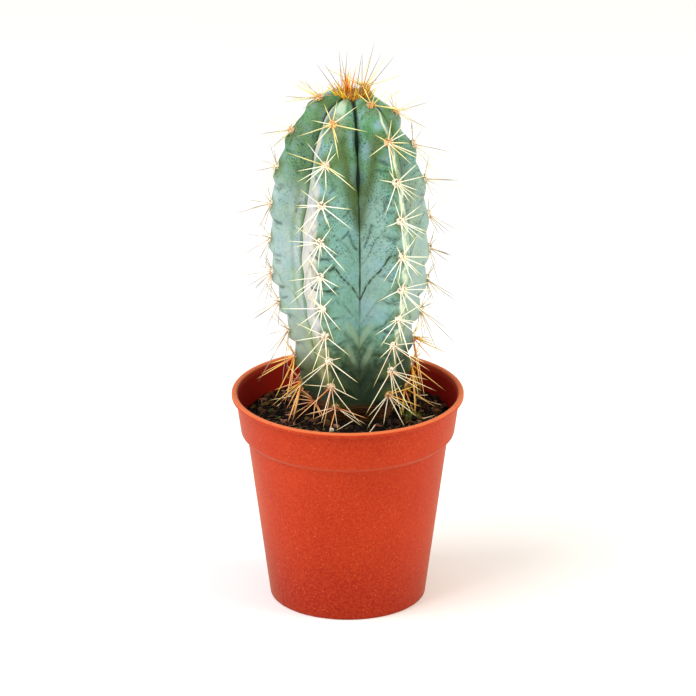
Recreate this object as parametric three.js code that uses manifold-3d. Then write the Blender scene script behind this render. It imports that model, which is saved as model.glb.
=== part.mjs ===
// Potted tall cactus: a six-ribbed columnar cactus rooted in potting mix, in a thin 9 cm nursery pot.
// Millimetres, +Z up. The origin is the middle of the pot's underside, and the front of the plant faces -Y.
import * as THREE from "three";
import { mergeVertices } from "three/addons/utils/BufferGeometryUtils.js";
import Module from "manifold-3d";

// Pot: rolled lip, straight collar, sloping shoulder and tapered body, moulded in one piece
const RIM_RADIUS = 45;
const POT_HEIGHT = 83.7;
const LIP_HEIGHT = 1.8;
const LIP_WIDTH = 2;
const LIP_ROUND = 0.5;
const COLLAR_TOP_RADIUS = 43.4;
const COLLAR_FOOT_RADIUS = 41.1;
const COLLAR_FOOT_Z = 65.6;
const BODY_TOP_RADIUS = 38.3;
const BODY_TOP_Z = 61.5;
const FOOT_RADIUS = 29.6;
const FOOT_ROUND = 1.6;
const POT_WALL = 1.1;
const POT_FLOOR = 1.5;
const POT_SIDES = 64;
const DRAIN_HOLES = 8;
const DRAIN_RADIUS = 3;
const DRAIN_CIRCLE = 18;

// Potting mix: fills the pot, heaped a little against the stem and lower along the wall
const SOIL_AT_STEM_Z = 76.4;
const SOIL_AT_WALL_Z = 72.6;
const SOIL_LUMP = 0.55;
const SOIL_SIDES = 60;
const SOIL_TOP_RINGS = 8;
const CLEARANCE = 0.3;

// Stem: six ribs round an axis that stands a little right of and behind the pot's middle and leans left
const RIBS = 6;
const FIRST_RIB_DEG = -82.5;
const STEM_BASE_X = 3.5;
const STEM_TOP_X = 1.4;
const STEM_Y = 2;
const LEAN_LENGTH = 22;
const ROOT_END_Z = 61;
const ROOT_RADIUS = 15.2;
const ROOT_CHAMFER = 3;
const RIB_OUTLINE = [
  [15.2, 74.5], [15.8, 78], [19.2, 83], [22.6, 92], [24.4, 105], [28.6, 120.5], [31, 136],
  [31.3, 152], [29.8, 168], [26.6, 182], [22.6, 192], [18.4, 198.8], [13.6, 203], [8, 204.4], [0, 203.2],
];

// Furrows between the ribs: their depth as a share of the crest's radius, and the areole rows where
// they begin to show above the round foot, where they are full, and where they deepen to the crown
const FURROW_DEPTH = 0.24;
const CROWN_FURROW_DEPTH = 0.34;
const FOOT_FURROW_SHARE = 0.15;
const RIBS_RISE_ROWS = [-0.5, 1.5];
const RIBS_DEEPEN_ROWS = [6, 9.5];

// Half of a rib's section, from its crest to the furrow: the turn as a share of the way to the furrow,
// the depth as a share of the furrow's, and the share of the crest's scallop that it carries
const RIB_SECTION = [
  { turn: 0, depth: 0, scallop: 1 },
  { turn: 0.23, depth: 0.1, scallop: 0.8 },
  { turn: 0.6, depth: 0.66, scallop: 0.2 },
  { turn: 1, depth: 1, scallop: 0 },
];

// Areoles: woolly pads along each crest, further apart towards the crown, half a step apart on
// neighbouring ribs. Below each one the crest bulges to a chin, then drops into a notch.
const LOWEST_AREOLE = 5;
const AREOLE_STEP = 9.7;
const AREOLE_STEP_GROWTH = 0.35;
const AREOLE_ROWS = 10;
const CHIN_TO_NOTCH = [0, 0.8, -1.1, -0.5];
const DEEPEST_SCALLOP_ROW = 3.3;
const DEEP_SCALLOP_SPREAD = 1.6;
const SCALLOP_STARTS_ROWS = [-0.6, 0.6];
const SCALLOP_ENDS_ROWS = [9.8, 10.6];
const PAD_RADIUS = 1.35;
const PAD_TOP_RADIUS = 0.75;
const PAD_HEIGHT = 0.8;

// Spines: straight three-sided needles that fan out of each areole, and a tuft of longer ones on the crown
const SPINE_RADIUS = 0.3;
const ROOT_SPREAD = 0.75;
const SIDE_SPINES = 5;
const SIDE_TILT_DEG = [56, 68];
const SIDE_TURN_JITTER_DEG = 11;
const SIDE_LENGTH = [9.5, 14];
const CENTRE_TILT_DEG = 24;
const CENTRE_TURN_JITTER_DEG = 43;
const CENTRE_LENGTH = [9, 12];
const SPINE_REACH = 44.5;
const TUFT_SPINES = 36;
const TUFT_RADIUS = 6;
const TUFT_HEIGHT = 3.2;
const TUFT_LENGTH = [13, 25];
const TUFT_SPREAD_DEG = 52;
const TUFT_JITTER_DEG = 3;
const TOP_Z = 226;
const SLIVER = 0.03;
const GOLDEN_TURN = Math.PI * (3 - Math.sqrt(5));
const SEED = 41;

const wasm = await Module();
wasm.setup();

const radians = THREE.MathUtils.degToRad;
const { lerp, clamp, smoothstep } = THREE.MathUtils;
const UP = new THREE.Vector3(0, 0, 1);

// A closed geometry as a solid that can be joined and cut
function solidOf(geometry) {
  geometry.deleteAttribute("normal");
  geometry.deleteAttribute("uv");
  const merged = mergeVertices(geometry, 1e-4);
  return new wasm.Manifold(
    new wasm.Mesh({
      numProp: 3,
      vertProperties: merged.getAttribute("position").array,
      triVerts: new Uint32Array(merged.index.array),
    }),
  );
}

// A solid as a geometry that a mesh can show, without the slivers that joins leave
function geometryOf(solid) {
  const { vertProperties, triVerts } = solid.asOriginal().simplify(SLIVER).getMesh();
  const geometry = new THREE.BufferGeometry();
  geometry.setAttribute("position", new THREE.BufferAttribute(vertProperties, 3));
  geometry.setIndex(new THREE.BufferAttribute(triVerts, 1));
  geometry.computeVertexNormals();
  return geometry;
}

// A seeded draw between 0 and 1, the same in every run
function seededDraw(seed) {
  let state = seed;
  return () => {
    state = (Math.imul(state, 1664525) + 1013904223) >>> 0;
    return state / 2 ** 32;
  };
}

// The level direction at an angle from the front, turning to the right
function outwards(angle) {
  return new THREE.Vector3(Math.sin(angle), -Math.cos(angle), 0);
}

// A closed skin over rings of points, from the lowest ring to the highest, with a point closing each end
function skinOver(rings, firstPoint, lastPoint) {
  const count = rings[0].length;
  const points = [firstPoint, ...rings.flat(), lastPoint];
  const last = points.length - 1;
  const faces = [];
  for (let side = 0; side < count; side++) {
    const next = (side + 1) % count;
    faces.push(0, 1 + next, 1 + side);
    for (let level = 0; level + 1 < rings.length; level++) {
      const low = 1 + level * count;
      const high = low + count;
      faces.push(low + side, low + next, high + next);
      faces.push(low + side, high + next, high + side);
    }
    faces.push(last, last - count + side, last - count + next);
  }
  return new THREE.BufferGeometry().setFromPoints(points).setIndex(faces);
}

// Pot

function arcPoints(middleR, middleZ, radius, fromDeg, toDeg, steps) {
  const arc = [];
  for (let step = 0; step <= steps; step++) {
    const angle = radians(lerp(fromDeg, toDeg, step / steps));
    arc.push(new THREE.Vector2(middleR + radius * Math.cos(angle), middleZ + radius * Math.sin(angle)));
  }
  return arc;
}

// The inside of the pot at a height: the wall follows the body, the shoulder and the collar
function potInnerRadius(z) {
  if (z > COLLAR_FOOT_Z) {
    const share = (z - COLLAR_FOOT_Z) / (POT_HEIGHT - LIP_HEIGHT - COLLAR_FOOT_Z);
    return lerp(COLLAR_FOOT_RADIUS, COLLAR_TOP_RADIUS, share) - POT_WALL;
  }
  if (z > BODY_TOP_Z) {
    const share = (z - BODY_TOP_Z) / (COLLAR_FOOT_Z - BODY_TOP_Z);
    return lerp(BODY_TOP_RADIUS, COLLAR_FOOT_RADIUS, share) - POT_WALL;
  }
  return lerp(FOOT_RADIUS, BODY_TOP_RADIUS, z / BODY_TOP_Z) - POT_WALL;
}

function potGeometry() {
  const lipFootZ = POT_HEIGHT - LIP_HEIGHT;
  const lipEdge = RIM_RADIUS - LIP_ROUND;
  const lipInside = RIM_RADIUS - LIP_WIDTH;
  const outline = [
    new THREE.Vector2(0, 0),
    ...arcPoints(FOOT_RADIUS - FOOT_ROUND, FOOT_ROUND, FOOT_ROUND, -90, 0, 3),
    new THREE.Vector2(BODY_TOP_RADIUS, BODY_TOP_Z),
    new THREE.Vector2(COLLAR_FOOT_RADIUS, COLLAR_FOOT_Z),
    new THREE.Vector2(COLLAR_TOP_RADIUS, lipFootZ),
    ...arcPoints(lipEdge, lipFootZ + LIP_ROUND, LIP_ROUND, -90, 0, 2),
    ...arcPoints(lipEdge, POT_HEIGHT - LIP_ROUND, LIP_ROUND, 0, 90, 2),
    ...arcPoints(lipInside + LIP_ROUND, POT_HEIGHT - LIP_ROUND, LIP_ROUND, 90, 180, 2),
    new THREE.Vector2(potInnerRadius(lipFootZ), lipFootZ - LIP_ROUND),
    new THREE.Vector2(potInnerRadius(COLLAR_FOOT_Z), COLLAR_FOOT_Z),
    new THREE.Vector2(potInnerRadius(BODY_TOP_Z), BODY_TOP_Z),
    new THREE.Vector2(potInnerRadius(POT_FLOOR), POT_FLOOR),
    new THREE.Vector2(0, POT_FLOOR),
  ];
  let pot = solidOf(new THREE.LatheGeometry(outline, POT_SIDES).rotateX(Math.PI / 2));
  for (let hole = 0; hole < DRAIN_HOLES; hole++) {
    const place = outwards((hole / DRAIN_HOLES) * 2 * Math.PI).multiplyScalar(DRAIN_CIRCLE);
    const drill = new THREE.CylinderGeometry(DRAIN_RADIUS, DRAIN_RADIUS, 3 * POT_FLOOR, 12);
    drill.rotateX(Math.PI / 2).translate(place.x, place.y, POT_FLOOR / 2);
    pot = pot.subtract(solidOf(drill));
  }
  return geometryOf(pot);
}

// Stem

const ribCurve = new THREE.SplineCurve(RIB_OUTLINE.map(([radius, z]) => new THREE.Vector2(radius, z)));
const ribLength = ribCurve.getLength();

// The stem's axis at a height: upright in the soil, then leaning over to its place under the crown
function stemAxis(z) {
  const lean = 1 - Math.exp(-Math.max(0, z - SOIL_AT_STEM_Z) / LEAN_LENGTH);
  return new THREE.Vector3(lerp(STEM_BASE_X, STEM_TOP_X, lean), STEM_Y, z);
}

// The length along the crest at a row, where whole rows hold the areoles
function lengthAtRow(row) {
  return LOWEST_AREOLE + AREOLE_STEP * row + AREOLE_STEP_GROWTH * row * row;
}

// A crest's radius, height and outward slope at a row
function crestAt(row) {
  const share = clamp(lengthAtRow(row) / ribLength, 0, 1);
  const point = ribCurve.getPointAt(share);
  const tangent = ribCurve.getTangentAt(share);
  return { point, normal: new THREE.Vector2(tangent.y, -tangent.x) };
}

function ribAngle(rib) {
  return radians(FIRST_RIB_DEG + (rib * 360) / RIBS);
}

// Every second rib holds its areoles half a row lower
function rowShift(rib) {
  return (rib % 2) / 2;
}

function furrowShare(row) {
  const full = lerp(FURROW_DEPTH, CROWN_FURROW_DEPTH, smoothstep(row, ...RIBS_DEEPEN_ROWS));
  return full * lerp(FOOT_FURROW_SHARE, 1, smoothstep(row, ...RIBS_RISE_ROWS));
}

// The scallop is deepest on the lower half of the stem and fades out at the soil and on the crown
function scallopAt(rib, row) {
  const stepsUp = Math.round((row + rowShift(rib)) * CHIN_TO_NOTCH.length);
  const stepsBelow = (-stepsUp % CHIN_TO_NOTCH.length) + CHIN_TO_NOTCH.length;
  const relief = CHIN_TO_NOTCH[stepsBelow % CHIN_TO_NOTCH.length];
  const depth = 1 + Math.exp(-(((row - DEEPEST_SCALLOP_ROW) / DEEP_SCALLOP_SPREAD) ** 2));
  const fade = smoothstep(row, ...SCALLOP_STARTS_ROWS) * (1 - smoothstep(row, ...SCALLOP_ENDS_ROWS));
  return relief * depth * fade;
}

// A point of the skin: on a rib, at a row, and so far round from the crest towards a furrow
function skinPoint(rib, row, section, side) {
  const { point, normal } = crestAt(row);
  const depth = point.x * furrowShare(row) * section.depth - scallopAt(rib, row) * section.scallop;
  const radius = Math.max(point.x - normal.x * depth, 0);
  const z = point.y - normal.y * depth;
  const angle = ribAngle(rib) + (side * section.turn * Math.PI) / RIBS;
  return stemAxis(z).addScaledVector(outwards(angle), radius);
}

function ringAtRow(row) {
  const [crest, ...flank] = RIB_SECTION;
  const furrow = flank.pop();
  const ring = [];
  for (let rib = 0; rib < RIBS; rib++) {
    for (const section of [...flank].reverse()) ring.push(skinPoint(rib, row, section, -1));
    ring.push(skinPoint(rib, row, crest, 1));
    for (const section of [...flank, furrow]) ring.push(skinPoint(rib, row, section, 1));
  }
  return ring;
}

// The foot of the stem below the soil, round and blunt
function ringInSoil(z, radius) {
  const pointsPerRib = 2 * RIB_SECTION.length - 2;
  const flankTurn = -RIB_SECTION.at(-2).turn * (Math.PI / RIBS);
  const ring = [];
  for (let n = 0; n < RIBS * pointsPerRib; n++) {
    const angle = ribAngle(0) + flankTurn + (n * 2 * Math.PI) / (RIBS * pointsPerRib);
    ring.push(stemAxis(z).addScaledVector(outwards(angle), radius));
  }
  return ring;
}

function stemSolid() {
  const [, ribsStartZ] = RIB_OUTLINE[0];
  const rings = [
    ringInSoil(ROOT_END_Z, ROOT_RADIUS - ROOT_CHAMFER),
    ringInSoil(ROOT_END_Z + ROOT_CHAMFER, ROOT_RADIUS),
    ringInSoil(ribsStartZ - 1, ROOT_RADIUS),
  ];
  const stepsPerRow = CHIN_TO_NOTCH.length;
  const lastStep = (AREOLE_ROWS + 0.5) * stepsPerRow;
  for (let step = -stepsPerRow / 2; step <= lastStep; step++) rings.push(ringAtRow(step / stepsPerRow));
  const [, apexZ] = RIB_OUTLINE.at(-1);
  return solidOf(skinOver(rings, stemAxis(ROOT_END_Z), stemAxis(apexZ)));
}

// Areoles and spines

// Where an areole sits: its place on the crest, the way out, the way up the rib and the way across it
function areoleFrame(rib, row) {
  const { normal } = crestAt(row);
  const level = outwards(ribAngle(rib));
  const out = level.clone().multiplyScalar(normal.x).addScaledVector(UP, normal.y);
  const across = UP.clone().cross(level);
  return { place: skinPoint(rib, row, RIB_SECTION[0], 1), out, across, up: out.clone().cross(across) };
}

function pointedAlong(geometry, direction, place) {
  const turn = new THREE.Quaternion().setFromUnitVectors(new THREE.Vector3(0, 1, 0), direction);
  return geometry.applyQuaternion(turn).translate(place.x, place.y, place.z);
}

// The longest that a needle may be and still end inside the pot's rim and under the top height
function trimmedLength(root, direction, length) {
  let trimmed = length;
  while (trimmed > 1) {
    const tip = root.clone().addScaledVector(direction, trimmed);
    const reach = tip.z > POT_HEIGHT + 1 ? SPINE_REACH : COLLAR_FOOT_RADIUS - 2 * POT_WALL;
    if (Math.hypot(tip.x, tip.y) < reach && tip.z < TOP_Z) break;
    trimmed -= 0.25;
  }
  return trimmed;
}

// A needle that would enter the potting mix is turned up until its tip lies just above the mix
function clearOfSoil(root, direction, length) {
  const tip = root.clone().addScaledVector(direction, length);
  const share = smoothstep(Math.hypot(tip.x, tip.y), ROOT_RADIUS, COLLAR_FOOT_RADIUS);
  const lowest = lerp(SOIL_AT_STEM_Z, SOIL_AT_WALL_Z, share) + 2 * SOIL_LUMP + SPINE_RADIUS + CLEARANCE;
  if (tip.z >= lowest) return direction;
  const rise = (lowest - root.z) / length;
  const level = new THREE.Vector3(direction.x, direction.y, 0).setLength(Math.sqrt(1 - rise * rise));
  return level.setZ(rise);
}

function spineSolid(root, direction, length) {
  const needle = new THREE.ConeGeometry(SPINE_RADIUS, length, 3).translate(0, length / 2, 0);
  return solidOf(pointedAlong(needle, direction, root));
}

function padSolid(frame) {
  const pad = new THREE.CylinderGeometry(PAD_TOP_RADIUS, PAD_RADIUS, 2 * PAD_HEIGHT, 6);
  return solidOf(pointedAlong(pad, frame.out, frame.place));
}

function areoleSpines(frame, draw) {
  const spines = [];
  const addSpine = (turn, tilt, length, spread) => {
    const sideways = frame.up.clone().multiplyScalar(Math.cos(turn));
    sideways.addScaledVector(frame.across, Math.sin(turn));
    const direction = frame.out.clone().multiplyScalar(Math.cos(tilt));
    direction.addScaledVector(sideways, Math.sin(tilt));
    const root = frame.place.clone().addScaledVector(frame.out, -PAD_HEIGHT / 2);
    root.addScaledVector(sideways, spread);
    const clear = clearOfSoil(root, direction, length);
    spines.push(spineSolid(root, clear, trimmedLength(root, clear, length)));
  };
  const firstTurn = draw() * 360;
  for (let spine = 0; spine < SIDE_SPINES; spine++) {
    const turn = firstTurn + (spine * 360) / SIDE_SPINES + lerp(-1, 1, draw()) * SIDE_TURN_JITTER_DEG;
    const tilt = lerp(...SIDE_TILT_DEG, draw());
    addSpine(radians(turn), radians(tilt), lerp(...SIDE_LENGTH, draw()), ROOT_SPREAD);
  }
  const downward = 180 + lerp(-1, 1, draw()) * CENTRE_TURN_JITTER_DEG;
  addSpine(radians(downward), radians(CENTRE_TILT_DEG), lerp(...CENTRE_LENGTH, draw()), 0);
  return spines;
}

// The crown's woolly cushion with its tuft, upright in the middle and fanned out round the edge
function crownSolids(draw) {
  const [, apexZ] = RIB_OUTLINE.at(-1);
  const middle = stemAxis(apexZ);
  const cushion = new THREE.SphereGeometry(1, 12, 6).rotateX(Math.PI / 2);
  cushion.scale(TUFT_RADIUS + 1, TUFT_RADIUS + 1, TUFT_HEIGHT).translate(middle.x, middle.y, middle.z);
  const solids = [solidOf(cushion)];
  for (let spine = 0; spine < TUFT_SPINES; spine++) {
    const share = Math.sqrt((spine + 0.5) / TUFT_SPINES);
    const level = outwards(spine * GOLDEN_TURN);
    const tilt = radians(TUFT_SPREAD_DEG * share + lerp(-1, 1, draw()) * TUFT_JITTER_DEG);
    const direction = level.clone().multiplyScalar(Math.sin(tilt)).addScaledVector(UP, Math.cos(tilt));
    const root = middle.clone().addScaledVector(level, TUFT_RADIUS * share);
    const length = lerp(...TUFT_LENGTH, (1 - share + draw()) / 2);
    solids.push(spineSolid(root, direction, trimmedLength(root, direction, length)));
  }
  return solids;
}

function cactusGeometry() {
  const draw = seededDraw(SEED);
  let cactus = stemSolid();
  for (let rib = 0; rib < RIBS; rib++) {
    for (let n = 0; n <= AREOLE_ROWS; n++) {
      const row = n - rowShift(rib);
      if (row < 0) continue;
      const frame = areoleFrame(rib, row);
      for (const solid of [padSolid(frame), ...areoleSpines(frame, draw)]) cactus = cactus.add(solid);
    }
  }
  for (const solid of crownSolids(draw)) cactus = cactus.add(solid);
  return geometryOf(cactus);
}

// Potting mix

// The top of the mix: heaped against the stem, falling to the wall, with lumps of a few millimetres
function soilTopZ(x, y, share) {
  const heap = lerp(SOIL_AT_STEM_Z, SOIL_AT_WALL_Z, smoothstep(share, 0, 1));
  const coarse = Math.sin(0.83 * x + 1.3) * Math.cos(0.71 * y - 0.4);
  const fine = Math.sin(1.55 * x - 1.2 * y) * Math.sin(1.31 * y + 0.9 * x + 2);
  return heap + SOIL_LUMP * (coarse + fine);
}

// A ring round the stem's foot at share 0, which widens and shifts to the pot's wall at share 1
function soilRing(share, wallRadius, heightAt) {
  const hole = ROOT_RADIUS + 3 * CLEARANCE;
  const ring = [];
  for (let n = 0; n < SOIL_SIDES; n++) {
    const direction = outwards((n / SOIL_SIDES) * 2 * Math.PI);
    const middle = stemAxis(0).multiplyScalar(1 - share);
    const point = middle.addScaledVector(direction, lerp(hole, wallRadius, share));
    point.z = heightAt(point);
    ring.push(point);
  }
  return ring;
}

function soilGeometry() {
  const wallRadiusAt = (z) => potInnerRadius(z) - 1.4 * CLEARANCE;
  const bottomZ = POT_FLOOR + CLEARANCE;
  const holeZ = ROOT_END_Z - CLEARANCE;
  const rings = [bottomZ, BODY_TOP_Z, COLLAR_FOOT_Z].map((z) => soilRing(1, wallRadiusAt(z), () => z));
  const topRadius = wallRadiusAt(SOIL_AT_WALL_Z);
  for (let n = SOIL_TOP_RINGS; n >= 0; n--) {
    const share = n / SOIL_TOP_RINGS;
    rings.push(soilRing(share, topRadius, (point) => soilTopZ(point.x, point.y, share)));
  }
  rings.push(soilRing(0, topRadius, () => holeZ));
  return skinOver(rings, new THREE.Vector3(0, 0, bottomZ), stemAxis(holeZ));
}

// Assembly

function namedMesh(name, geometry, finish) {
  const mesh = new THREE.Mesh(geometry, new THREE.MeshStandardMaterial(finish));
  mesh.name = name;
  return mesh;
}

const pottedCactus = new THREE.Group();
pottedCactus.add(
  namedMesh("pot", potGeometry(), { color: 0xc8421f, roughness: 0.45, metalness: 0 }),
  namedMesh("soil", soilGeometry(), { color: 0x2b1d14, roughness: 0.95, metalness: 0 }),
  namedMesh("cactus", cactusGeometry(), { color: 0x4f8a72, roughness: 0.6, metalness: 0 }),
);

export default pottedCactus;
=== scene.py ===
# %% [markdown]
# # A tall cactus in its nursery pot
# This lesson dresses a measured model of a potted columnar cactus. The model comes as three plain
# solids: the pot, the potting mix and the cactus. They say how big everything is and where it stands.
# Each one is replaced by a finer mesh of the same form, and each mesh gets a finish made of nodes.
# All shapes here are worked out in millimetres, and turned into Blender's metres as a mesh is made.

# %% Load the measured model
import math

import bmesh
import bpy
import numpy as np
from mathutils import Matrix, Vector, noise


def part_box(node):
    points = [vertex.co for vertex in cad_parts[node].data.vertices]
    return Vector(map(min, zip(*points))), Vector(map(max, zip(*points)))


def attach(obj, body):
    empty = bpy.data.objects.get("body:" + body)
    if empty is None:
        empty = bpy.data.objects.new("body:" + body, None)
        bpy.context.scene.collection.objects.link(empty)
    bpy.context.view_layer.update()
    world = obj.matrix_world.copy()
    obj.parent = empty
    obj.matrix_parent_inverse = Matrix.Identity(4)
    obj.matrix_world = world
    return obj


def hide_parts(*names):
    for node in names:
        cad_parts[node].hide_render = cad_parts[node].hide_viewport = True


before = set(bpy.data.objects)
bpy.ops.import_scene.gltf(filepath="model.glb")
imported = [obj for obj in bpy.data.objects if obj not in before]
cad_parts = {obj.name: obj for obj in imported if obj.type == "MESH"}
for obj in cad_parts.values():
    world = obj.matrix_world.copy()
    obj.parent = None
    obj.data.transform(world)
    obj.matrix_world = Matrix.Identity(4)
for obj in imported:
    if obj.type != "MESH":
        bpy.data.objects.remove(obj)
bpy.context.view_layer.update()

MM = 0.001
rim_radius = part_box("pot")[1].x / MM
pot_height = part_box("pot")[1].z / MM
top_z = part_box("cactus")[1].z / MM
print(f"rim radius {rim_radius:.1f} mm, pot height {pot_height:.1f} mm, top at {top_z:.1f} mm")

# %% [markdown]
# ## Camera
# A product picture is taken from far away through a long lens, so that upright lines stay upright and
# near and far parts keep their true proportions. The camera stands in front of the plant and looks down
# on it by 21 degrees. The lens follows from the width that the picture has to take in at the plant. The
# camera, the lamps and the floor are placed in metres.

# %% Place the camera
CAMERA_ELEVATION = math.radians(21.3)
CAMERA_DISTANCE = 2.4
CAMERA_SEES_TO = 20
PICTURE_WIDTH = 0.2689
CAMERA_AIM = Vector((0.0001, 0.0, 0.1015))


def sight_line(azimuth, elevation):
    """The direction from the plant towards a place at an azimuth from the front and an elevation."""
    level = math.cos(elevation)
    return Vector((math.sin(azimuth) * level, -math.cos(azimuth) * level, math.sin(elevation)))


camera = bpy.data.objects.new("camera", bpy.data.cameras.new("camera"))
bpy.context.scene.collection.objects.link(camera)
camera.location = CAMERA_AIM + CAMERA_DISTANCE * sight_line(0, CAMERA_ELEVATION)
camera.rotation_euler = (math.pi / 2 - CAMERA_ELEVATION, 0, 0)
camera.data.lens = camera.data.sensor_width * CAMERA_DISTANCE / PICTURE_WIDTH
camera.data.clip_end = CAMERA_SEES_TO
bpy.context.scene.camera = camera
print(f"lens {camera.data.lens:.0f} mm at {CAMERA_DISTANCE} m")

# %% [markdown]
# ## Light
# The plant stands in bright, even studio light: a white surround lights it from every side, a large soft
# box on the left gives the ribs their shape, and a weaker, warmer one on the right lifts the shadows. Large
# sources close by give soft edges, as cloth-covered lamps do. Colours are shown as they are, without a
# film-like curve, because a product picture keeps the red of the pot and the white floor clean.

# %% Light the plant
SURROUND_STRENGTH = 0.66
KEY_LIGHT = {"azimuth_deg": -64, "elevation_deg": 42, "distance": 1.2, "width": 1.1, "watts": 15}
FILL_LIGHT = {"azimuth_deg": 80, "elevation_deg": 32, "distance": 1.2, "width": 0.9, "watts": 10.5}
WARM_WHITE = (1, 0.93, 0.72)
bpy.context.scene.view_settings.view_transform = "Standard"


def soft_box(name, azimuth_deg, elevation_deg, distance, width, watts, colour=(1, 1, 1)):
    """A square soft light that faces the middle of the plant."""
    lamp = bpy.data.objects.new(name, bpy.data.lights.new(name, "AREA"))
    lamp.data.size = width
    lamp.data.energy = watts
    lamp.data.color = colour
    bpy.context.scene.collection.objects.link(lamp)
    direction = sight_line(math.radians(azimuth_deg), math.radians(elevation_deg))
    lamp.location = CAMERA_AIM + distance * direction
    lamp.rotation_euler = direction.to_track_quat("Z", "Y").to_euler()


surround = bpy.data.worlds.new("white_surround")
surround.use_nodes = True
surround.node_tree.nodes["Background"].inputs["Color"].default_value = (1, 1, 1, 1)
surround.node_tree.nodes["Background"].inputs["Strength"].default_value = SURROUND_STRENGTH
bpy.context.scene.world = surround
soft_box("key_left", **KEY_LIGHT)
soft_box("fill_right", **FILL_LIGHT, colour=WARM_WHITE)

# %% [markdown]
# ## Helpers for meshes
# Everything that grew or was moulded here is a skin over rings of points: the pot turns round its axis,
# the stem's rings are wavy, and each spine is a thin tube. So one helper joins rings into faces, one closes
# an end, and one turns points and faces into a piece. Values that a finish needs, such as how far along a
# spine a point lies, are stored on the mesh as named attributes.

# %% Make skins and pieces
def srgb(red, green, blue):
    """A colour as seen on a screen, 0 to 255, as the linear values that a shader takes."""
    parts = np.array([red, green, blue]) / 255
    linear = np.where(parts <= 0.04045, parts / 12.92, ((parts + 0.055) / 1.055) ** 2.4)
    return (*linear.tolist(), 1.0)


def smoothstep(value, low, high):
    """A smooth change from 0 at low to 1 at high."""
    share = np.clip((value - low) / (high - low), 0, 1)
    return share * share * (3 - 2 * share)


def lerp(first, second, share):
    return first + (second - first) * share


def ring_quads(rings, columns):
    """Faces between rings of points that are stored one after another, lowest ring first."""
    low = (np.arange(rings - 1) * columns)[:, None] + np.arange(columns)[None, :]
    ahead = (np.arange(rings - 1) * columns)[:, None] + (np.arange(columns)[None, :] + 1) % columns
    return np.stack([low, ahead, ahead + columns, low + columns], axis=-1).reshape(-1, 4)


def cap_faces(middle, first, columns, turned=False):
    """A fan of triangles from a middle point to a ring of points, turned over to close a lower end."""
    pairs = [(first + n, first + (n + 1) % columns) for n in range(columns)]
    return [[middle, *(pair[::-1] if turned else pair)] for pair in pairs]


def piece(name, points, faces, finish, slot, smooth=True):
    """A mesh piece from points in millimetres, riding on the plant's one body."""
    mesh = bpy.data.meshes.new(name)
    mesh.from_pydata((np.asarray(points) * MM).tolist(), [], [list(map(int, face)) for face in faces])
    mesh.polygons.foreach_set("use_smooth", [smooth] * len(mesh.polygons))
    mesh.materials.append(finish)
    made = bpy.data.objects.new(name, mesh)
    bpy.context.scene.collection.objects.link(made)
    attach(made, "root")
    print(f"{name}: {len(mesh.vertices)} points, {len(mesh.polygons)} faces")
    return made


def store(made, name, values, domain="POINT"):
    """Keeps one number for each point or face corner of a piece, for its finish to read."""
    attribute = made.data.attributes.new(name, "FLOAT", domain)
    attribute.data.foreach_set("value", np.asarray(values, np.float32).ravel())


# %% [markdown]
# ## Helpers for finishes
# A finish is a Principled shader whose colour, roughness and bump come from a few kinds of node: noise in
# the object's own space, the stored attributes, ramps and mixes. A small class keeps each recipe short,
# so that the recipe reads as a list of what is on the surface.

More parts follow.
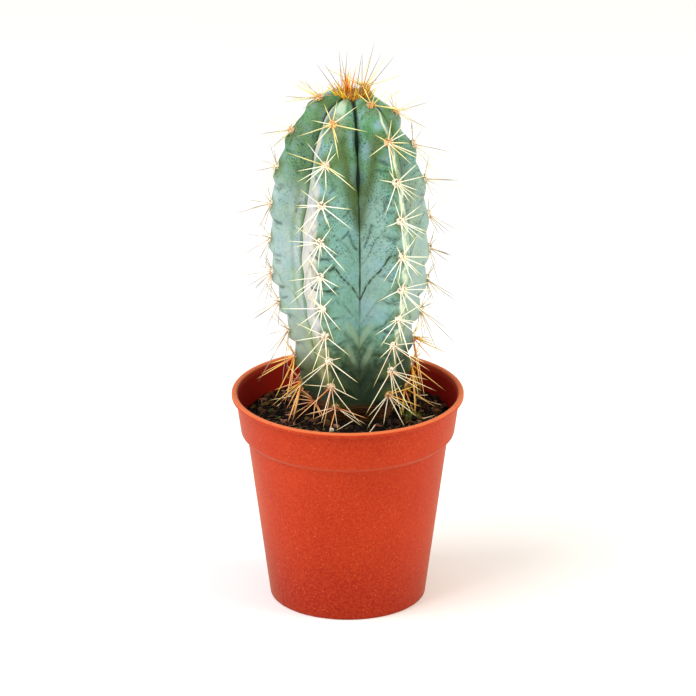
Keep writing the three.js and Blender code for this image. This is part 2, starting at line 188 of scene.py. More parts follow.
# %% Build finishes from nodes
class Finish:
    """A material under construction, with short names for the nodes that this plant needs."""

    def __init__(self, name, **settings):
        self.material = bpy.data.materials.new(name)
        self.material.use_nodes = True
        self.tree = self.material.node_tree
        self.shader = self.tree.nodes["Principled BSDF"]
        for socket, value in settings.items():
            self.shader.inputs[socket.replace("_", " ")].default_value = value
        self.place = self.tree.nodes.new("ShaderNodeTexCoord").outputs["Object"]

    def feed(self, socket, value):
        """Links an output into a socket, or sets the socket to a plain value."""
        if isinstance(value, bpy.types.NodeSocket):
            self.tree.links.new(value, socket)
        else:
            socket.default_value = value

    def noise(self, per_mm, detail=3, stretch=(1, 1, 1), roughness=0.55):
        """Soft noise with so many features to a millimetre, stretched along an axis where asked."""
        spread = self.tree.nodes.new("ShaderNodeMapping")
        spread.inputs["Scale"].default_value = stretch
        self.feed(spread.inputs["Vector"], self.place)
        cloud = self.tree.nodes.new("ShaderNodeTexNoise")
        cloud.inputs["Scale"].default_value = per_mm / MM
        cloud.inputs["Detail"].default_value = detail
        cloud.inputs["Roughness"].default_value = roughness
        self.feed(cloud.inputs["Vector"], spread.outputs["Vector"])
        return cloud.outputs["Fac"]

    def height_mm(self):
        """The height above the floor, in millimetres."""
        split = self.tree.nodes.new("ShaderNodeSeparateXYZ")
        self.feed(split.inputs["Vector"], self.place)
        return self.sum("DIVIDE", split.outputs["Z"], MM)

    def stored(self, name):
        reader = self.tree.nodes.new("ShaderNodeAttribute")
        reader.attribute_name = name
        return reader.outputs["Fac"]

    def between(self, value, low, high, start=0.0, end=1.0):
        """A smooth change from start to end while the value goes from low to high."""
        remap = self.tree.nodes.new("ShaderNodeMapRange")
        remap.interpolation_type = "SMOOTHSTEP"
        for socket, number in zip(("Value", "From Min", "From Max", "To Min", "To Max"),
                                  (value, low, high, start, end)):
            self.feed(remap.inputs[socket], number)
        return remap.outputs["Result"]

    def sum(self, kind, first, second=0.0):
        """One step of arithmetic, such as ADD, MULTIPLY or FRACT."""
        step = self.tree.nodes.new("ShaderNodeMath")
        step.operation = kind
        self.feed(step.inputs[0], first)
        self.feed(step.inputs[1], second)
        return step.outputs["Value"]

    def paint(self, share, under, over):
        """The colour over laid on the colour under, where share says."""
        mix = self.tree.nodes.new("ShaderNodeMix")
        mix.data_type = "RGBA"
        self.feed(mix.inputs["Factor"], share)
        self.feed(mix.inputs[6], under)
        self.feed(mix.inputs[7], over)
        return mix.outputs[2]

    def ramp(self, value, *stops):
        """A colour ramp from (place, colour) stops."""
        scale = self.tree.nodes.new("ShaderNodeValToRGB")
        while len(scale.color_ramp.elements) < len(stops):
            scale.color_ramp.elements.new(0.5)
        for element, (spot, colour) in zip(scale.color_ramp.elements, stops):
            element.position = spot
            element.color = colour
        self.feed(scale.inputs["Fac"], value)
        return scale.outputs["Color"]

    def bump(self, height, depth_mm):
        relief = self.tree.nodes.new("ShaderNodeBump")
        relief.inputs["Distance"].default_value = depth_mm * MM
        relief.inputs["Strength"].default_value = 1.0
        self.feed(relief.inputs["Height"], height)
        self.feed(self.shader.inputs["Normal"], relief.outputs["Normal"])

    def done(self, colour):
        self.feed(self.shader.inputs["Base Color"], colour)
        return self.material


# %% [markdown]
# ## Floor
# The floor is a plain white sheet, far larger than the picture. It isn't part of the plant. White paper
# needs no texture, only a rough surface that takes a soft shadow.

# %% Lay the floor
FLOOR_HALF_WIDTH = 6.0
FLOOR_CORNERS = ((-1, -1), (1, -1), (1, 1), (-1, 1))
PAPER_WHITE = (0.92, 0.92, 0.92, 1)


def paper_finish():
    return Finish("white_paper", Roughness=1.0).done(PAPER_WHITE)


floor_mesh = bpy.data.meshes.new("floor")
floor_points = [(x * FLOOR_HALF_WIDTH, y * FLOOR_HALF_WIDTH, 0) for x, y in FLOOR_CORNERS]
floor_mesh.from_pydata(floor_points, [], [(0, 1, 2, 3)])
floor_mesh.materials.append(paper_finish())
floor = bpy.data.objects.new("floor", floor_mesh)
bpy.context.scene.collection.objects.link(floor)
print(f"floor: {2 * FLOOR_HALF_WIDTH:.0f} m wide")

# %% [markdown]
# ## Pot shell
# The real pot is one thin injection moulding with a rolled lip, a collar that ends in a narrow ledge, and a
# tapered body. At the ledge the inside steps in with the outside, so the wall stays thin all the way. A
# profile turned round an axis gives exactly that. Corners of the profile are rounded a little, because no
# moulding has a knife edge and the round edges catch the light. Radius and height of a corner come first,
# and then how much of it is rounded off.

# %% Draw the pot's profile
LIP_HEIGHT = 1.8
LIP_WIDTH = 2.0
COLLAR_TOP_RADIUS = 43.4
COLLAR_FOOT = (41.38, 67.6)
BODY_TOP = (38.9, 65.7)
FOOT_RADIUS = 30.2
POT_WALL = 1.1
LEDGE_WALL = 1.0
POT_FLOOR = 1.5
FOOT_RECESS = 0.6
FOOT_RING_WIDTH = 3.4
FOOT_RING_SLOPE = 0.8
LIP_INSIDE_SLOPE = 0.5
ROUNDING_STEPS = 5
lip_foot_z = pot_height - LIP_HEIGHT


def towards(start, goal, distance):
    """The point so many millimetres from a start on the way to a goal."""
    return start + distance * (goal - start) / np.linalg.norm(goal - start)


def rounded(corners):
    """A line through (radius, height, rounding) corners, each one rounded by so many millimetres."""
    line = []
    points = [np.array(corner[:2], float) for corner in corners]
    for n, corner in enumerate(corners):
        if n in (0, len(corners) - 1) or corner[2] == 0:
            line.append(points[n])
            continue
        start, end = (towards(points[n], points[m], corner[2]) for m in (n - 1, n + 1))
        for share in np.linspace(0, 1, ROUNDING_STEPS):
            line.append((1 - share) ** 2 * start + 2 * share * (1 - share) * points[n] + share ** 2 * end)
    return np.array(line)


pot_corners = [
    (0, FOOT_RECESS, 0), (FOOT_RADIUS - FOOT_RING_WIDTH - FOOT_RING_SLOPE, FOOT_RECESS, 0.4),
    (FOOT_RADIUS - FOOT_RING_WIDTH, 0, 0.4), (FOOT_RADIUS, 0, 0.8), (*BODY_TOP, 0.6), (*COLLAR_FOOT, 0.6),
    (COLLAR_TOP_RADIUS, lip_foot_z, 0.35), (rim_radius, lip_foot_z, 0.5), (rim_radius, pot_height, 0.7),
    (rim_radius - LIP_WIDTH, pot_height, 0.7),
    (COLLAR_TOP_RADIUS - POT_WALL, lip_foot_z - LIP_INSIDE_SLOPE, 0.4),
    (COLLAR_FOOT[0] - POT_WALL, COLLAR_FOOT[1] + LEDGE_WALL, 0.6),
    (BODY_TOP[0] - POT_WALL, BODY_TOP[1] + LEDGE_WALL, 0.6),
    (FOOT_RADIUS - POT_WALL, POT_FLOOR, 1.0), (0, POT_FLOOR, 0),
]
pot_line = rounded(pot_corners)
print(f"pot profile: {len(pot_line)} points")

# %% [markdown]
# Long straight stretches of the profile are cut into short steps, so that the moulded lines near the foot
# can be pressed into the wall as real grooves. Ten of them run up from the foot, as the core of such a
# mould leaves them. Eight drain holes go through the floor.

# %% Turn the pot and drill it
POT_SIDES = 320
WALL_STEP = 3.0
GROOVES = 10
GROOVE_DEPTH = 0.16
GROOVE_TOP_Z = 13
GROOVES_REACH_IN = 0.5
DRAIN_HOLES = 8
DRAIN_RADIUS = 3
DRAIN_CIRCLE = 18
DRILL_SIDES = 32


def outwards(angle):
    """The level direction at an angle from the front, turning to the right, for one angle or many."""
    angle = np.asarray(angle, float)
    return np.stack([np.sin(angle), -np.cos(angle), np.zeros_like(angle)], axis=-1)


def with_steps(line, longest):
    """A line with points added, so that no step is longer than asked."""
    stepped = [line[0]]
    for start, end in zip(line[:-1], line[1:]):
        count = max(1, math.ceil(np.linalg.norm(end - start) / longest))
        stepped += [lerp(start, end, n / count) for n in range(1, count + 1)]
    return np.array(stepped)


def pot_skin():
    """Points and faces of the turned pot, with the grooves pressed in."""
    line = with_steps(pot_line, WALL_STEP)[1:-1]
    angles = np.arange(POT_SIDES) * 2 * np.pi / POT_SIDES
    sides_to_a_groove = POT_SIDES // GROOVES
    groove = np.arange(POT_SIDES) % sides_to_a_groove == sides_to_a_groove // 2
    radius = np.repeat(line[:, :1], POT_SIDES, axis=1)
    outer_wall = (np.arange(len(line)) < len(line) / 2) & (line[:, 0] > FOOT_RADIUS - GROOVES_REACH_IN)
    near_foot = outer_wall * smoothstep(line[:, 1], GROOVE_TOP_Z, GROOVE_TOP_Z / 2)
    radius -= GROOVE_DEPTH * near_foot[:, None] * groove[None, :]
    points = radius[..., None] * outwards(angles)[None]
    points[..., 2] = line[:, 1][:, None]
    points = np.vstack([points.reshape(-1, 3), [0, 0, FOOT_RECESS], [0, 0, POT_FLOOR]])
    faces = ring_quads(len(line), POT_SIDES).tolist()
    faces += cap_faces(len(points) - 2, 0, POT_SIDES, turned=True)
    faces += cap_faces(len(points) - 1, (len(line) - 1) * POT_SIDES, POT_SIDES)
    return points, faces


def drill_drain_holes(pot):
    for hole in range(DRAIN_HOLES):
        x, y, _ = DRAIN_CIRCLE * MM * outwards(hole * 2 * np.pi / DRAIN_HOLES)
        bpy.ops.mesh.primitive_cylinder_add(vertices=DRILL_SIDES, radius=DRAIN_RADIUS * MM,
                                            depth=4 * POT_FLOOR * MM, location=(x, y, POT_FLOOR * MM / 2))
        drill = bpy.context.active_object
        cut = pot.modifiers.new("drain_hole", "BOOLEAN")
        cut.object = drill
        bpy.context.view_layer.objects.active = pot
        bpy.ops.object.modifier_apply(modifier=cut.name)
        bpy.data.objects.remove(drill)
    print(f"{DRAIN_HOLES} drain holes of {2 * DRAIN_RADIUS} mm")


# %% [markdown]
# ## Pot finish
# The plastic is terracotta orange all through, with a satin skin. Towards the foot it is painted a deeper
# red, a painted shade for light that comes from above, and the lip is painted paler, a painted highlight
# where the thin lip catches the light. Fine specks, pale and dark, and a slight cloudiness come from the
# pigment. The specks are small cells of noise, kept only where the noise is highest or lowest, and a very
# fine bump breaks up the gloss as a spark-eroded mould does. A thin film of dust brightens the wall where
# it is seen at a slant. Its sheen is tinted green, so the edges turn ochre and not pink.
#
# Inside, the wall is painted a darker, deeper red, a painted shade for the inside of the pot, and no dust
# sheen shows there. A number stored on each point says how much of that painted shade it takes, so one
# recipe serves the whole shell.

# %% Finish the pot
PAINTED_FOOT_SHADE_TOP_Z = 42
LIP_HIGHLIGHT_FROM_Z = pot_height - 0.9
INNER_SHADE_SHARE = 0.85
INNER_SHADE_TOP_Z = pot_height - 3
INNER_SHADE_FADES_FROM_Z = pot_height - 1
DUST_SHEEN = 0.12
DUST_GONE_AT_INNER_SHADE = 0.15


def pot_finish():
    plastic = Finish("terracotta_plastic", Roughness=0.58, Specular_IOR_Level=0.22,
                     Specular_Tint=(1.0, 0.82, 0.5, 1), Sheen_Roughness=0.4, Sheen_Tint=(0.6, 1.0, 0.55, 1))
    cloud = plastic.noise(0.03, detail=2)
    height = plastic.height_mm()
    colour = plastic.ramp(cloud, (0.3, srgb(166, 32, 8)), (0.7, srgb(178, 43, 12)))
    # Painted shade: the plastic is painted a deeper red towards the foot, for light that comes from above.
    colour = plastic.paint(plastic.between(height, PAINTED_FOOT_SHADE_TOP_Z, 0, 0, 0.8), colour, srgb(138, 8, 2))
    grain = plastic.between(plastic.noise(1.1, detail=3), 0.38, 0.62, 0, 0.26)
    colour = plastic.paint(grain, colour, srgb(204, 76, 28))
    # Painted highlight: the lip is painted paler where it catches the light.
    painted_lip_highlight = plastic.between(height, LIP_HIGHLIGHT_FROM_Z, pot_height - 0.2)
    colour = plastic.paint(painted_lip_highlight, colour, srgb(206, 102, 60))
    specks = plastic.between(plastic.noise(1.7, detail=1), 0.68, 0.76)
    colour = plastic.paint(plastic.sum("MULTIPLY", specks, 0.5), colour, srgb(226, 130, 86))
    motes = plastic.between(plastic.noise(0.9, detail=1), 0.35, 0.28)
    colour = plastic.paint(plastic.sum("MULTIPLY", motes, 0.5), colour, srgb(136, 24, 12))
    # Painted shade: the inside of the pot is painted a darker, deeper red.
    inner_shade = plastic.stored("inner_shade")
    colour = plastic.paint(inner_shade, colour, srgb(148, 4, 3))
    dust = plastic.between(inner_shade, 0, DUST_GONE_AT_INNER_SHADE, DUST_SHEEN, 0)
    plastic.feed(plastic.shader.inputs["Sheen Weight"], dust)
    plastic.bump(plastic.noise(2.5, detail=2), 0.02)
    return plastic.done(colour)


def inner_shade_shares(points):
    """How much painted shade darkens each point of the pot: only inside, and less towards the lip."""
    heights = (0, BODY_TOP[1], COLLAR_FOOT[1], lip_foot_z)
    radii = (FOOT_RADIUS, BODY_TOP[0], COLLAR_FOOT[0], COLLAR_TOP_RADIUS)
    outer_radius = np.interp(points[:, 2], heights, radii)
    within_wall = np.hypot(points[:, 0], points[:, 1]) < outer_radius - POT_WALL / 2
    inside = within_wall & (points[:, 2] > POT_FLOOR - 0.1)
    return INNER_SHADE_SHARE * inside * smoothstep(points[:, 2], INNER_SHADE_FADES_FROM_Z, INNER_SHADE_TOP_Z)


pot_shell = piece("pot_shell", *pot_skin(), pot_finish(), "pot_plastic")
drill_drain_holes(pot_shell)
store(pot_shell, "inner_shade", inner_shade_shares(np.array([v.co for v in pot_shell.data.vertices]) / MM))
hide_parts("pot")

# %% [markdown]
# ## Form of the stem
# Six ribs stand round an axis that leans a little. Along each crest sit the areoles, the woolly pads that
# carry the spines, further apart towards the crown and half a step lower on every second rib. A place on
# the skin is given by two numbers: the row, which counts areoles up the crest, and the turn, which goes
# from 0 on the crest to 1 in the furrow. All relief and all colour is written in these two numbers.

# %% Draw the crest of a rib
RIBS = 6
FIRST_RIB = math.radians(-82.5)
STEM_BASE_X = 3.5
STEM_TOP_X = 1.4
STEM_Y = 2
LEAN_LENGTH = 22
SOIL_AT_STEM_Z = 76.4
RIB_OUTLINE = np.array([
    [15.2, 74.5], [15.8, 78], [19.2, 83], [22.6, 92], [24.4, 105], [28.6, 120.5], [31, 136],
    [31.3, 152], [29.8, 168], [26.6, 182], [22.6, 192], [18.4, 198.8], [13.6, 203], [8, 204.4], [0, 203.2],
])
LOWEST_AREOLE = 5
AREOLE_STEP = 9.7
AREOLE_STEP_GROWTH = 0.35
AREOLE_ROWS = 10
SPLINE_STEPS = 60


def spline_through(points):
    """A smooth line through points, with the end points repeated."""
    ends = np.vstack([points[:1], points, points[-1:]])
    share = np.linspace(0, 1, SPLINE_STEPS, endpoint=False)[:, None]
    line = []
    for before, start, end, after in zip(ends, ends[1:], ends[2:], ends[3:]):
        leave, arrive = (end - before) / 2, (after - start) / 2
        bend = (2 * start - 2 * end + leave + arrive) * share ** 3
        bow = (-3 * start + 3 * end - 2 * leave - arrive) * share ** 2
        line.append(bend + bow + leave * share + start)
    return np.vstack([*line, points[-1:]])


crest_line = spline_through(RIB_OUTLINE)
crest_lengths = np.append(0, np.cumsum(np.linalg.norm(np.diff(crest_line, axis=0), axis=1)))
crest_slope = np.gradient(crest_line, crest_lengths, axis=0)
print(f"length of a crest: {crest_lengths[-1]:.1f} mm")

# %% [markdown]
# A row is turned into a length along that crest, and the length into a radius, a height and a slope. The
# steps between areoles grow evenly, so the length grows with the square of the row, and solving that for
# the row gives the way back. Working by row keeps every crease and stripe in step with the areoles.

# %% Find a place on the crest
def length_at_row(row):
    return LOWEST_AREOLE + AREOLE_STEP * row + AREOLE_STEP_GROWTH * row * row


def row_at_length(length):
    root = AREOLE_STEP ** 2 + 4 * AREOLE_STEP_GROWTH * (length - LOWEST_AREOLE)
    return (np.sqrt(root) - AREOLE_STEP) / (2 * AREOLE_STEP_GROWTH)


def step_at_row(row):
    """The length of one row, in millimetres."""
    return AREOLE_STEP + 2 * AREOLE_STEP_GROWTH * row


def crest_at(row):
    """Radius, height and outward slope of the crest at a row."""
    length = length_at_row(np.asarray(row, float))
    radius, z = (np.interp(length, crest_lengths, crest_line[:, n]) for n in (0, 1))
    along = np.stack([np.interp(length, crest_lengths, crest_slope[:, n]) for n in (0, 1)], axis=-1)
    along /= np.linalg.norm(along, axis=-1, keepdims=True)
    return radius, z, along[..., 1], -along[..., 0]


def stem_axis(z):
    """The middle of the stem at each height. It leans to the left as it leaves the mix."""
    lean = 1 - np.exp(-np.maximum(0, z - SOIL_AT_STEM_Z) / LEAN_LENGTH)
    return np.stack([lerp(STEM_BASE_X, STEM_TOP_X, lean), np.full_like(z, STEM_Y), z], axis=-1)


def rib_angle(rib):
    return FIRST_RIB + rib * 2 * np.pi / RIBS


def row_shift(rib):
    """How far rise runs ahead of the row on a rib, because its areoles sit half a step lower."""
    return (rib % 2) / 2


print("lowest areoles at", [round(float(crest_at(lowest)[1]), 1) for lowest in (0, 0.5)], "mm")

# %% [markdown]
# Between two crests the skin dips into a furrow. Low down it is a wide, shallow V. Near the crown it is
# deeper, and its last few millimetres drop steeply, so that it ends in a narrow dark cleft. Along the
# crest the skin bulges to a chin below each areole and then drops into a notch. No two ribs grow quite
# alike: the right-hand one, rib 3, lies a millimetre or two lower than the rest, has hardly any chins and
# has a deep notch near its top. The left-hand one, rib 0, sinks and swells by less than a millimetre.
#
# A curve through a few knots, each with a height and a slope, draws both the flank and the chin.

# %% Shape the furrows and the notches
FURROW_DEPTH = 0.24
CROWN_FURROW_DEPTH = 0.42
FOOT_FURROW_SHARE = 0.15
RIBS_RISE_ROWS = (-0.5, 1.5)
RIBS_DEEPEN_ROWS = (6, 9.5)
CLEFT_ROWS = (7.2, 8.7)
FLANK_TURNS = np.array([0, 0.23, 0.6, 1])
FLANK_DEPTHS = np.array([0, 0.1, 0.66, 1])
FLANK_SLOPES = np.array([0, 1.1, 1.35, 0.7])
CLEFT_SHARE = 0.22
CLEFT_EASING = 1.1
CLEFT_STEEPNESS = 18
CHIN_STEPS = np.array([0, 0.25, 0.5, 0.75, 1])
CHIN_HEIGHTS = np.array([0, 0.7, -0.85, -0.4, 0])
CHIN_SLOPES = np.array([2.4, 0, 0, 1.8, 2.4])
SHORT_CHIN_HEIGHTS = np.array([0, 0.05, -1.15, -0.65, 0])
SHORT_CHIN_SLOPES = np.array([1.4, -3.4, 0, 1.9, 1.4])
SHORT_CHIN_RIBS = {3}
CREST_DIPS = {0: ((3.2, 4.2, 5.2, 6.6, 7.4, 8.2, 9), (0.8, 0.6, 0, 0, -0.7, -0.8, 0)),
              3: ((1, 2.5, 4.5, 6.5, 7.5, 8.6, 9.6, 10.4, 11), (0.4, 0.9, 0.9, 1.6, 1.5, 2.4, 2.4, 1.0, 0))}
NO_DIP = ((0, 1), (0, 0))
SCALLOP_DEPTH = 0.9
DEEPEST_SCALLOP_EXTRA = 0.7
DEEPEST_SCALLOP_ROW = 3.3
DEEP_SCALLOP_SPREAD = 1.6
SCALLOP_TURNS = 0.42
SCALLOPS_START_ROWS = (-0.6, 0.6)
SCALLOPS_END_ROWS = (9.8, 10.6)
TOP_NOTCH_ROW = 9.0
TOP_NOTCH_SPREAD = 0.45
TOP_NOTCH_DEPTH = 0.8


def curve_through(value, knots, heights, slopes):
    """A smooth curve through knots with the given heights and slopes."""
    n = np.clip(np.searchsorted(knots, value, side="right") - 1, 0, len(knots) - 2)
    span = knots[n + 1] - knots[n]
    t = (value - knots[n]) / span
    return ((2 * t**3 - 3 * t**2 + 1) * heights[n] + (t**3 - 2 * t**2 + t) * span * slopes[n]
            + (3 * t**2 - 2 * t**3) * heights[n + 1] + (t**3 - t**2) * span * slopes[n + 1])


def furrow_share(row):
    """The furrow's depth as a share of the crest's radius."""
    full = lerp(FURROW_DEPTH, CROWN_FURROW_DEPTH, smoothstep(row, *RIBS_DEEPEN_ROWS))
    return full * lerp(FOOT_FURROW_SHARE, 1, smoothstep(row, *RIBS_RISE_ROWS))


def flank_depth(turn, row):
    """How far the skin has dipped at a turn, from 0 on the crest to 1 in the furrow."""
    open_flank = curve_through(turn, FLANK_TURNS, FLANK_DEPTHS, FLANK_SLOPES)
    cleft_flank = lerp(turn ** CLEFT_EASING, turn ** CLEFT_STEEPNESS, CLEFT_SHARE)
    return lerp(open_flank, cleft_flank, smoothstep(row, *CLEFT_ROWS))


def crest_dip(rib, row):
    """Millimetres that a rib's crest lies below the outline that the ribs share."""
    rows, dips = CREST_DIPS.get(rib, NO_DIP)
    return np.interp(row, rows, dips)


def hill(value, middle, spread):
    """A smooth hill, 1 at its middle, that falls to nothing on both sides."""
    return np.exp(-(((value - middle) / spread) ** 2))


def scallop(rib, rise, row, turn):
    """Millimetres that the skin stands out at so many rows above the lowest areole of its rib."""
    below = np.mod(-rise, 1)
    depth = SCALLOP_DEPTH + DEEPEST_SCALLOP_EXTRA * hill(row, DEEPEST_SCALLOP_ROW, DEEP_SCALLOP_SPREAD)
    if rib in SHORT_CHIN_RIBS:
        relief = curve_through(below, CHIN_STEPS, SHORT_CHIN_HEIGHTS, SHORT_CHIN_SLOPES)
        depth = depth + TOP_NOTCH_DEPTH * hill(row, TOP_NOTCH_ROW, TOP_NOTCH_SPREAD)
    else:
        relief = curve_through(below, CHIN_STEPS, CHIN_HEIGHTS, CHIN_SLOPES)
    fade = smoothstep(row, *SCALLOPS_START_ROWS) * (1 - smoothstep(row, *SCALLOPS_END_ROWS))
    return relief * depth * fade * hill(turn, 0, SCALLOP_TURNS)


print("furrow depth from", [round(float(furrow_share(row)), 2) for row in (0, 5, 10)], "of the radius")

# %% [markdown]
# From each areole a fine line runs down both flanks into the furrow, where it meets the line of the
# neighbouring rib in a V. These lines are the seams between the humps that the ribs grew from. The seam
# number below is a whole number on such a line, so both the relief and the colour can find it. Seams run a
# little differently on ribs with high areoles, kind 0, and on those with low ones, kind 1.
#
# Under each areole there is also a crease, curved like a smile. Seams and creases differ in strength, so
# each gets a random one, by rib, side (0 for left, 1 for right) and number. On the outer ribs the flanks
# that face the front have weaker seams and stronger creases. Beside the front furrow the seams are set one
# by one, and so are the creases of rib 1. The seed is fixed, so every run gives the same plant.

# %% Draw the seams
SEED = 7
SEAM_START = {0: 0.24, 1: 0.33}
SEAM_TOP = {0: -0.05, 1: -0.25}
SEAM_DROP = {0: 1.45, 1: 1.17}
SEAM_CURVE = {0: 1.1, 1: 1.05}
SEAM_ARCH = 0.87
SEAM_NUMBERS = AREOLE_ROWS + 4
FAINTEST_SEAM = 0.1
FEW_STRONG_SEAMS = 1.6
STRONGEST_SMILE = 0.6
FRONT_SEAMS = {2: 0.7, 3: 0.8, 4: 0.9, 5: 0.35, 6: 1.0, 7: 0.3, 8: 0.25}
FRONT_SMILES = {4: 0.25, 5: 0.35, 6: 1.0, 7: 0.75, 8: 0.2}
FAINT_SMILE = 0.1
WEAKER_SEAMS = {(0, 1): 0.3, (3, 0): 0.5}
STRONGER_SMILES = {(0, 1): 0.4, (3, 0): 0.25}
draw = np.random.default_rng(SEED)
by_chance = draw.random((RIBS, 2, SEAM_NUMBERS))
seam_strength = lerp(FAINTEST_SEAM, 1, by_chance ** FEW_STRONG_SEAMS)
seam_strength[..., AREOLE_ROWS:] = 0
smile_strength = STRONGEST_SMILE * smoothstep(draw.random((RIBS, 2, SEAM_NUMBERS)), 0.3, 0.9)
for flank in WEAKER_SEAMS:
    seam_strength[flank] *= WEAKER_SEAMS[flank]
    smile_strength[flank] += STRONGER_SMILES[flank]
for flank in ((1, 1), (2, 0)):
    seam_strength[flank] = [FRONT_SEAMS.get(number, 0) for number in range(SEAM_NUMBERS)]
smile_strength[1] = [FRONT_SMILES.get(number, FAINT_SMILE) for number in range(SEAM_NUMBERS)]
print(f"{(seam_strength > 0.5).sum()} strong seams, {(smile_strength > 0.5).sum()} strong creases")


def seam_number(rib, rise, turn):
    """A whole number on each seam, counted by the areole that the seam starts from."""
    kind = rib % 2
    share = np.clip((turn - SEAM_START[kind]) / (1 - SEAM_START[kind]), 0, 1)
    arch = SEAM_ARCH * np.maximum(SEAM_START[kind] - turn, 0)
    return rise + SEAM_TOP[kind] + arch + SEAM_DROP[kind] * share ** SEAM_CURVE[kind]


def smile_number(rise, turn):
    """A whole number on the crease halfway between areoles, which curves up at its ends like a smile."""
    return rise + 0.5 - 0.7 * turn ** 2


def from_whole(number):
    """How far a number is from the nearest whole one."""
    return np.abs(number - np.round(number))


def strength_of(table, rib, side, number):
    """The strength of the seam or crease that is nearest to each place."""
    nearest = np.clip(np.round(number).astype(int), 0, table.shape[2] - 1)
    return table[rib, side, nearest]


# %% [markdown]
# Now the rings are laid: a few plain ones for the foot in the mix, then close together up to the apex.
# Columns are closer on the crests and in the furrows, where the form turns fastest.

# %% Lay the stem's grid
RINGS = 300
HALF_COLUMNS = 26
COLUMN_CROWDING = 0.45
FIRST_RING_AT = 0.3
LAST_RING_BEFORE_APEX = 0.5
ROOT_RINGS = [(12.2, 61), (14.9, 62.5), (15.2, 66), (15.2, 70), (15.2, 74)]
steps = np.arange(-HALF_COLUMNS, HALF_COLUMNS + 1) / HALF_COLUMNS
signed_turn = steps - COLUMN_CROWDING * np.sin(2 * np.pi * steps) / (2 * np.pi)
turn = np.abs(signed_turn)
side_of_column = (signed_turn > 0).astype(int)
row = row_at_length(np.linspace(FIRST_RING_AT, crest_lengths[-1] - LAST_RING_BEFORE_APEX, RINGS))
crest_radius, crest_z, slope_out, slope_up = crest_at(row)


def rib_grid(rib):
    """One rib's skin as a grid of points, with its rise, seam and smile numbers."""
    rows = row[:, None]
    rise = np.repeat(rows + row_shift(rib), len(turn), axis=1)
    depth = crest_radius[:, None] * furrow_share(rows) * flank_depth(turn[None, :], rows)
    depth = depth + crest_dip(rib, rows) * (1 - smoothstep(turn[None, :], 0, 1))
    depth = depth - scallop(rib, rise, rows, turn[None, :])
    radius = np.maximum(crest_radius[:, None] - slope_out[:, None] * depth, 0)
    z = crest_z[:, None] - slope_up[:, None] * depth
    angle = rib_angle(rib) + signed_turn * np.pi / RIBS
    points = stem_axis(z) + radius[..., None] * outwards(angle)[None]
    return points, rise, seam_number(rib, rise, turn[None, :]), smile_number(rise, turn[None, :])


grids = [rib_grid(rib) for rib in range(RIBS)]
rib_points = np.stack([grid[0] for grid in grids])
rise, seam, smile = (np.stack([grid[n] for grid in grids]) for n in (1, 2, 3))
print("stem grid:", rib_points.shape)

# %% [markdown]
# The fine relief is added along the true normals of that grid: creases under the areoles, seams on the
# flanks, a soft swelling between seams, a little unevenness, and rings of cork at the foot. Relief of less
# than a millimetre still shows, because the light catches every edge of it.

# %% Add the fine relief
SMILE_DEPTH = 0.5
SMILE_WIDTH = 0.55
SMILE_ENDS_TURNS = (0.3, 0.5)
SMILE_ENDS_ROWS = (7, 9)
SEAM_DEPTH = 0.34
SEAM_WIDTH = 0.5
SEAM_STARTS_TURNS = (0.14, 0.3)
SEAM_SLANT = 0.75
SWELLING = 0.3
SWELLING_TURNS = (0.2, 0.5)
RELIEF_STARTS_ROWS = (0.4, 1.4)
RELIEF_ENDS_ROWS = (9.3, 10.0)
CORK_TOP_Z = 85.5
CORK_FULL_Z = CORK_TOP_Z - 4
CORK_RIDGE = 0.35
CORK_RADIANS_PER_MM = 5.2
CORK_WANDER = 4
UNEVENNESS = 0.16
UNEVENNESS_PER_MM = 0.12
rib_index = np.arange(RIBS)[:, None, None] + np.zeros_like(rise, int)
side_index = side_of_column[None, None, :] + np.zeros_like(rise, int)
row_mm = step_at_row(row)[None, :, None]
turn_mm = turn[None, None, :] * (np.pi / RIBS) * crest_radius[None, :, None]
fade_in = smoothstep(row, *RELIEF_STARTS_ROWS)
fade_out = 1 - smoothstep(row, *RELIEF_ENDS_ROWS)
stem_fade = (fade_in * fade_out)[None, :, None]
seam_power = strength_of(seam_strength, rib_index, side_index, seam)
seam_power *= smoothstep(turn, *SEAM_STARTS_TURNS)[None, None, :] * stem_fade
smile_power = strength_of(smile_strength, rib_index, side_index, smile)
smile_power *= (1 - smoothstep(turn, *SMILE_ENDS_TURNS))[None, None, :] * stem_fade
smile_power *= (1 - smoothstep(row, *SMILE_ENDS_ROWS))[None, :, None]


def groove(number, width_mm):
    """How deep each place lies in the groove along a line, as a share. The lines run at a slant."""
    return hill(from_whole(number) * row_mm * SEAM_SLANT, 0, width_mm)


def clouds(points, per_mm, octaves=3):
    """Soft noise from -1 to 1 at each point."""
    flat = points.reshape(-1, 3) * per_mm
    values = [noise.fractal(Vector(p), 1.0, 2.0, octaves) for p in flat]
    return np.array(values).reshape(points.shape[:-1])


def grid_normals(points):
    """The direction square to the skin at each point of the grids."""
    across = np.gradient(points, axis=2)
    along = np.gradient(points, axis=1)
    normal = np.cross(across, along)
    return normal / np.maximum(np.linalg.norm(normal, axis=-1, keepdims=True), 1e-9)


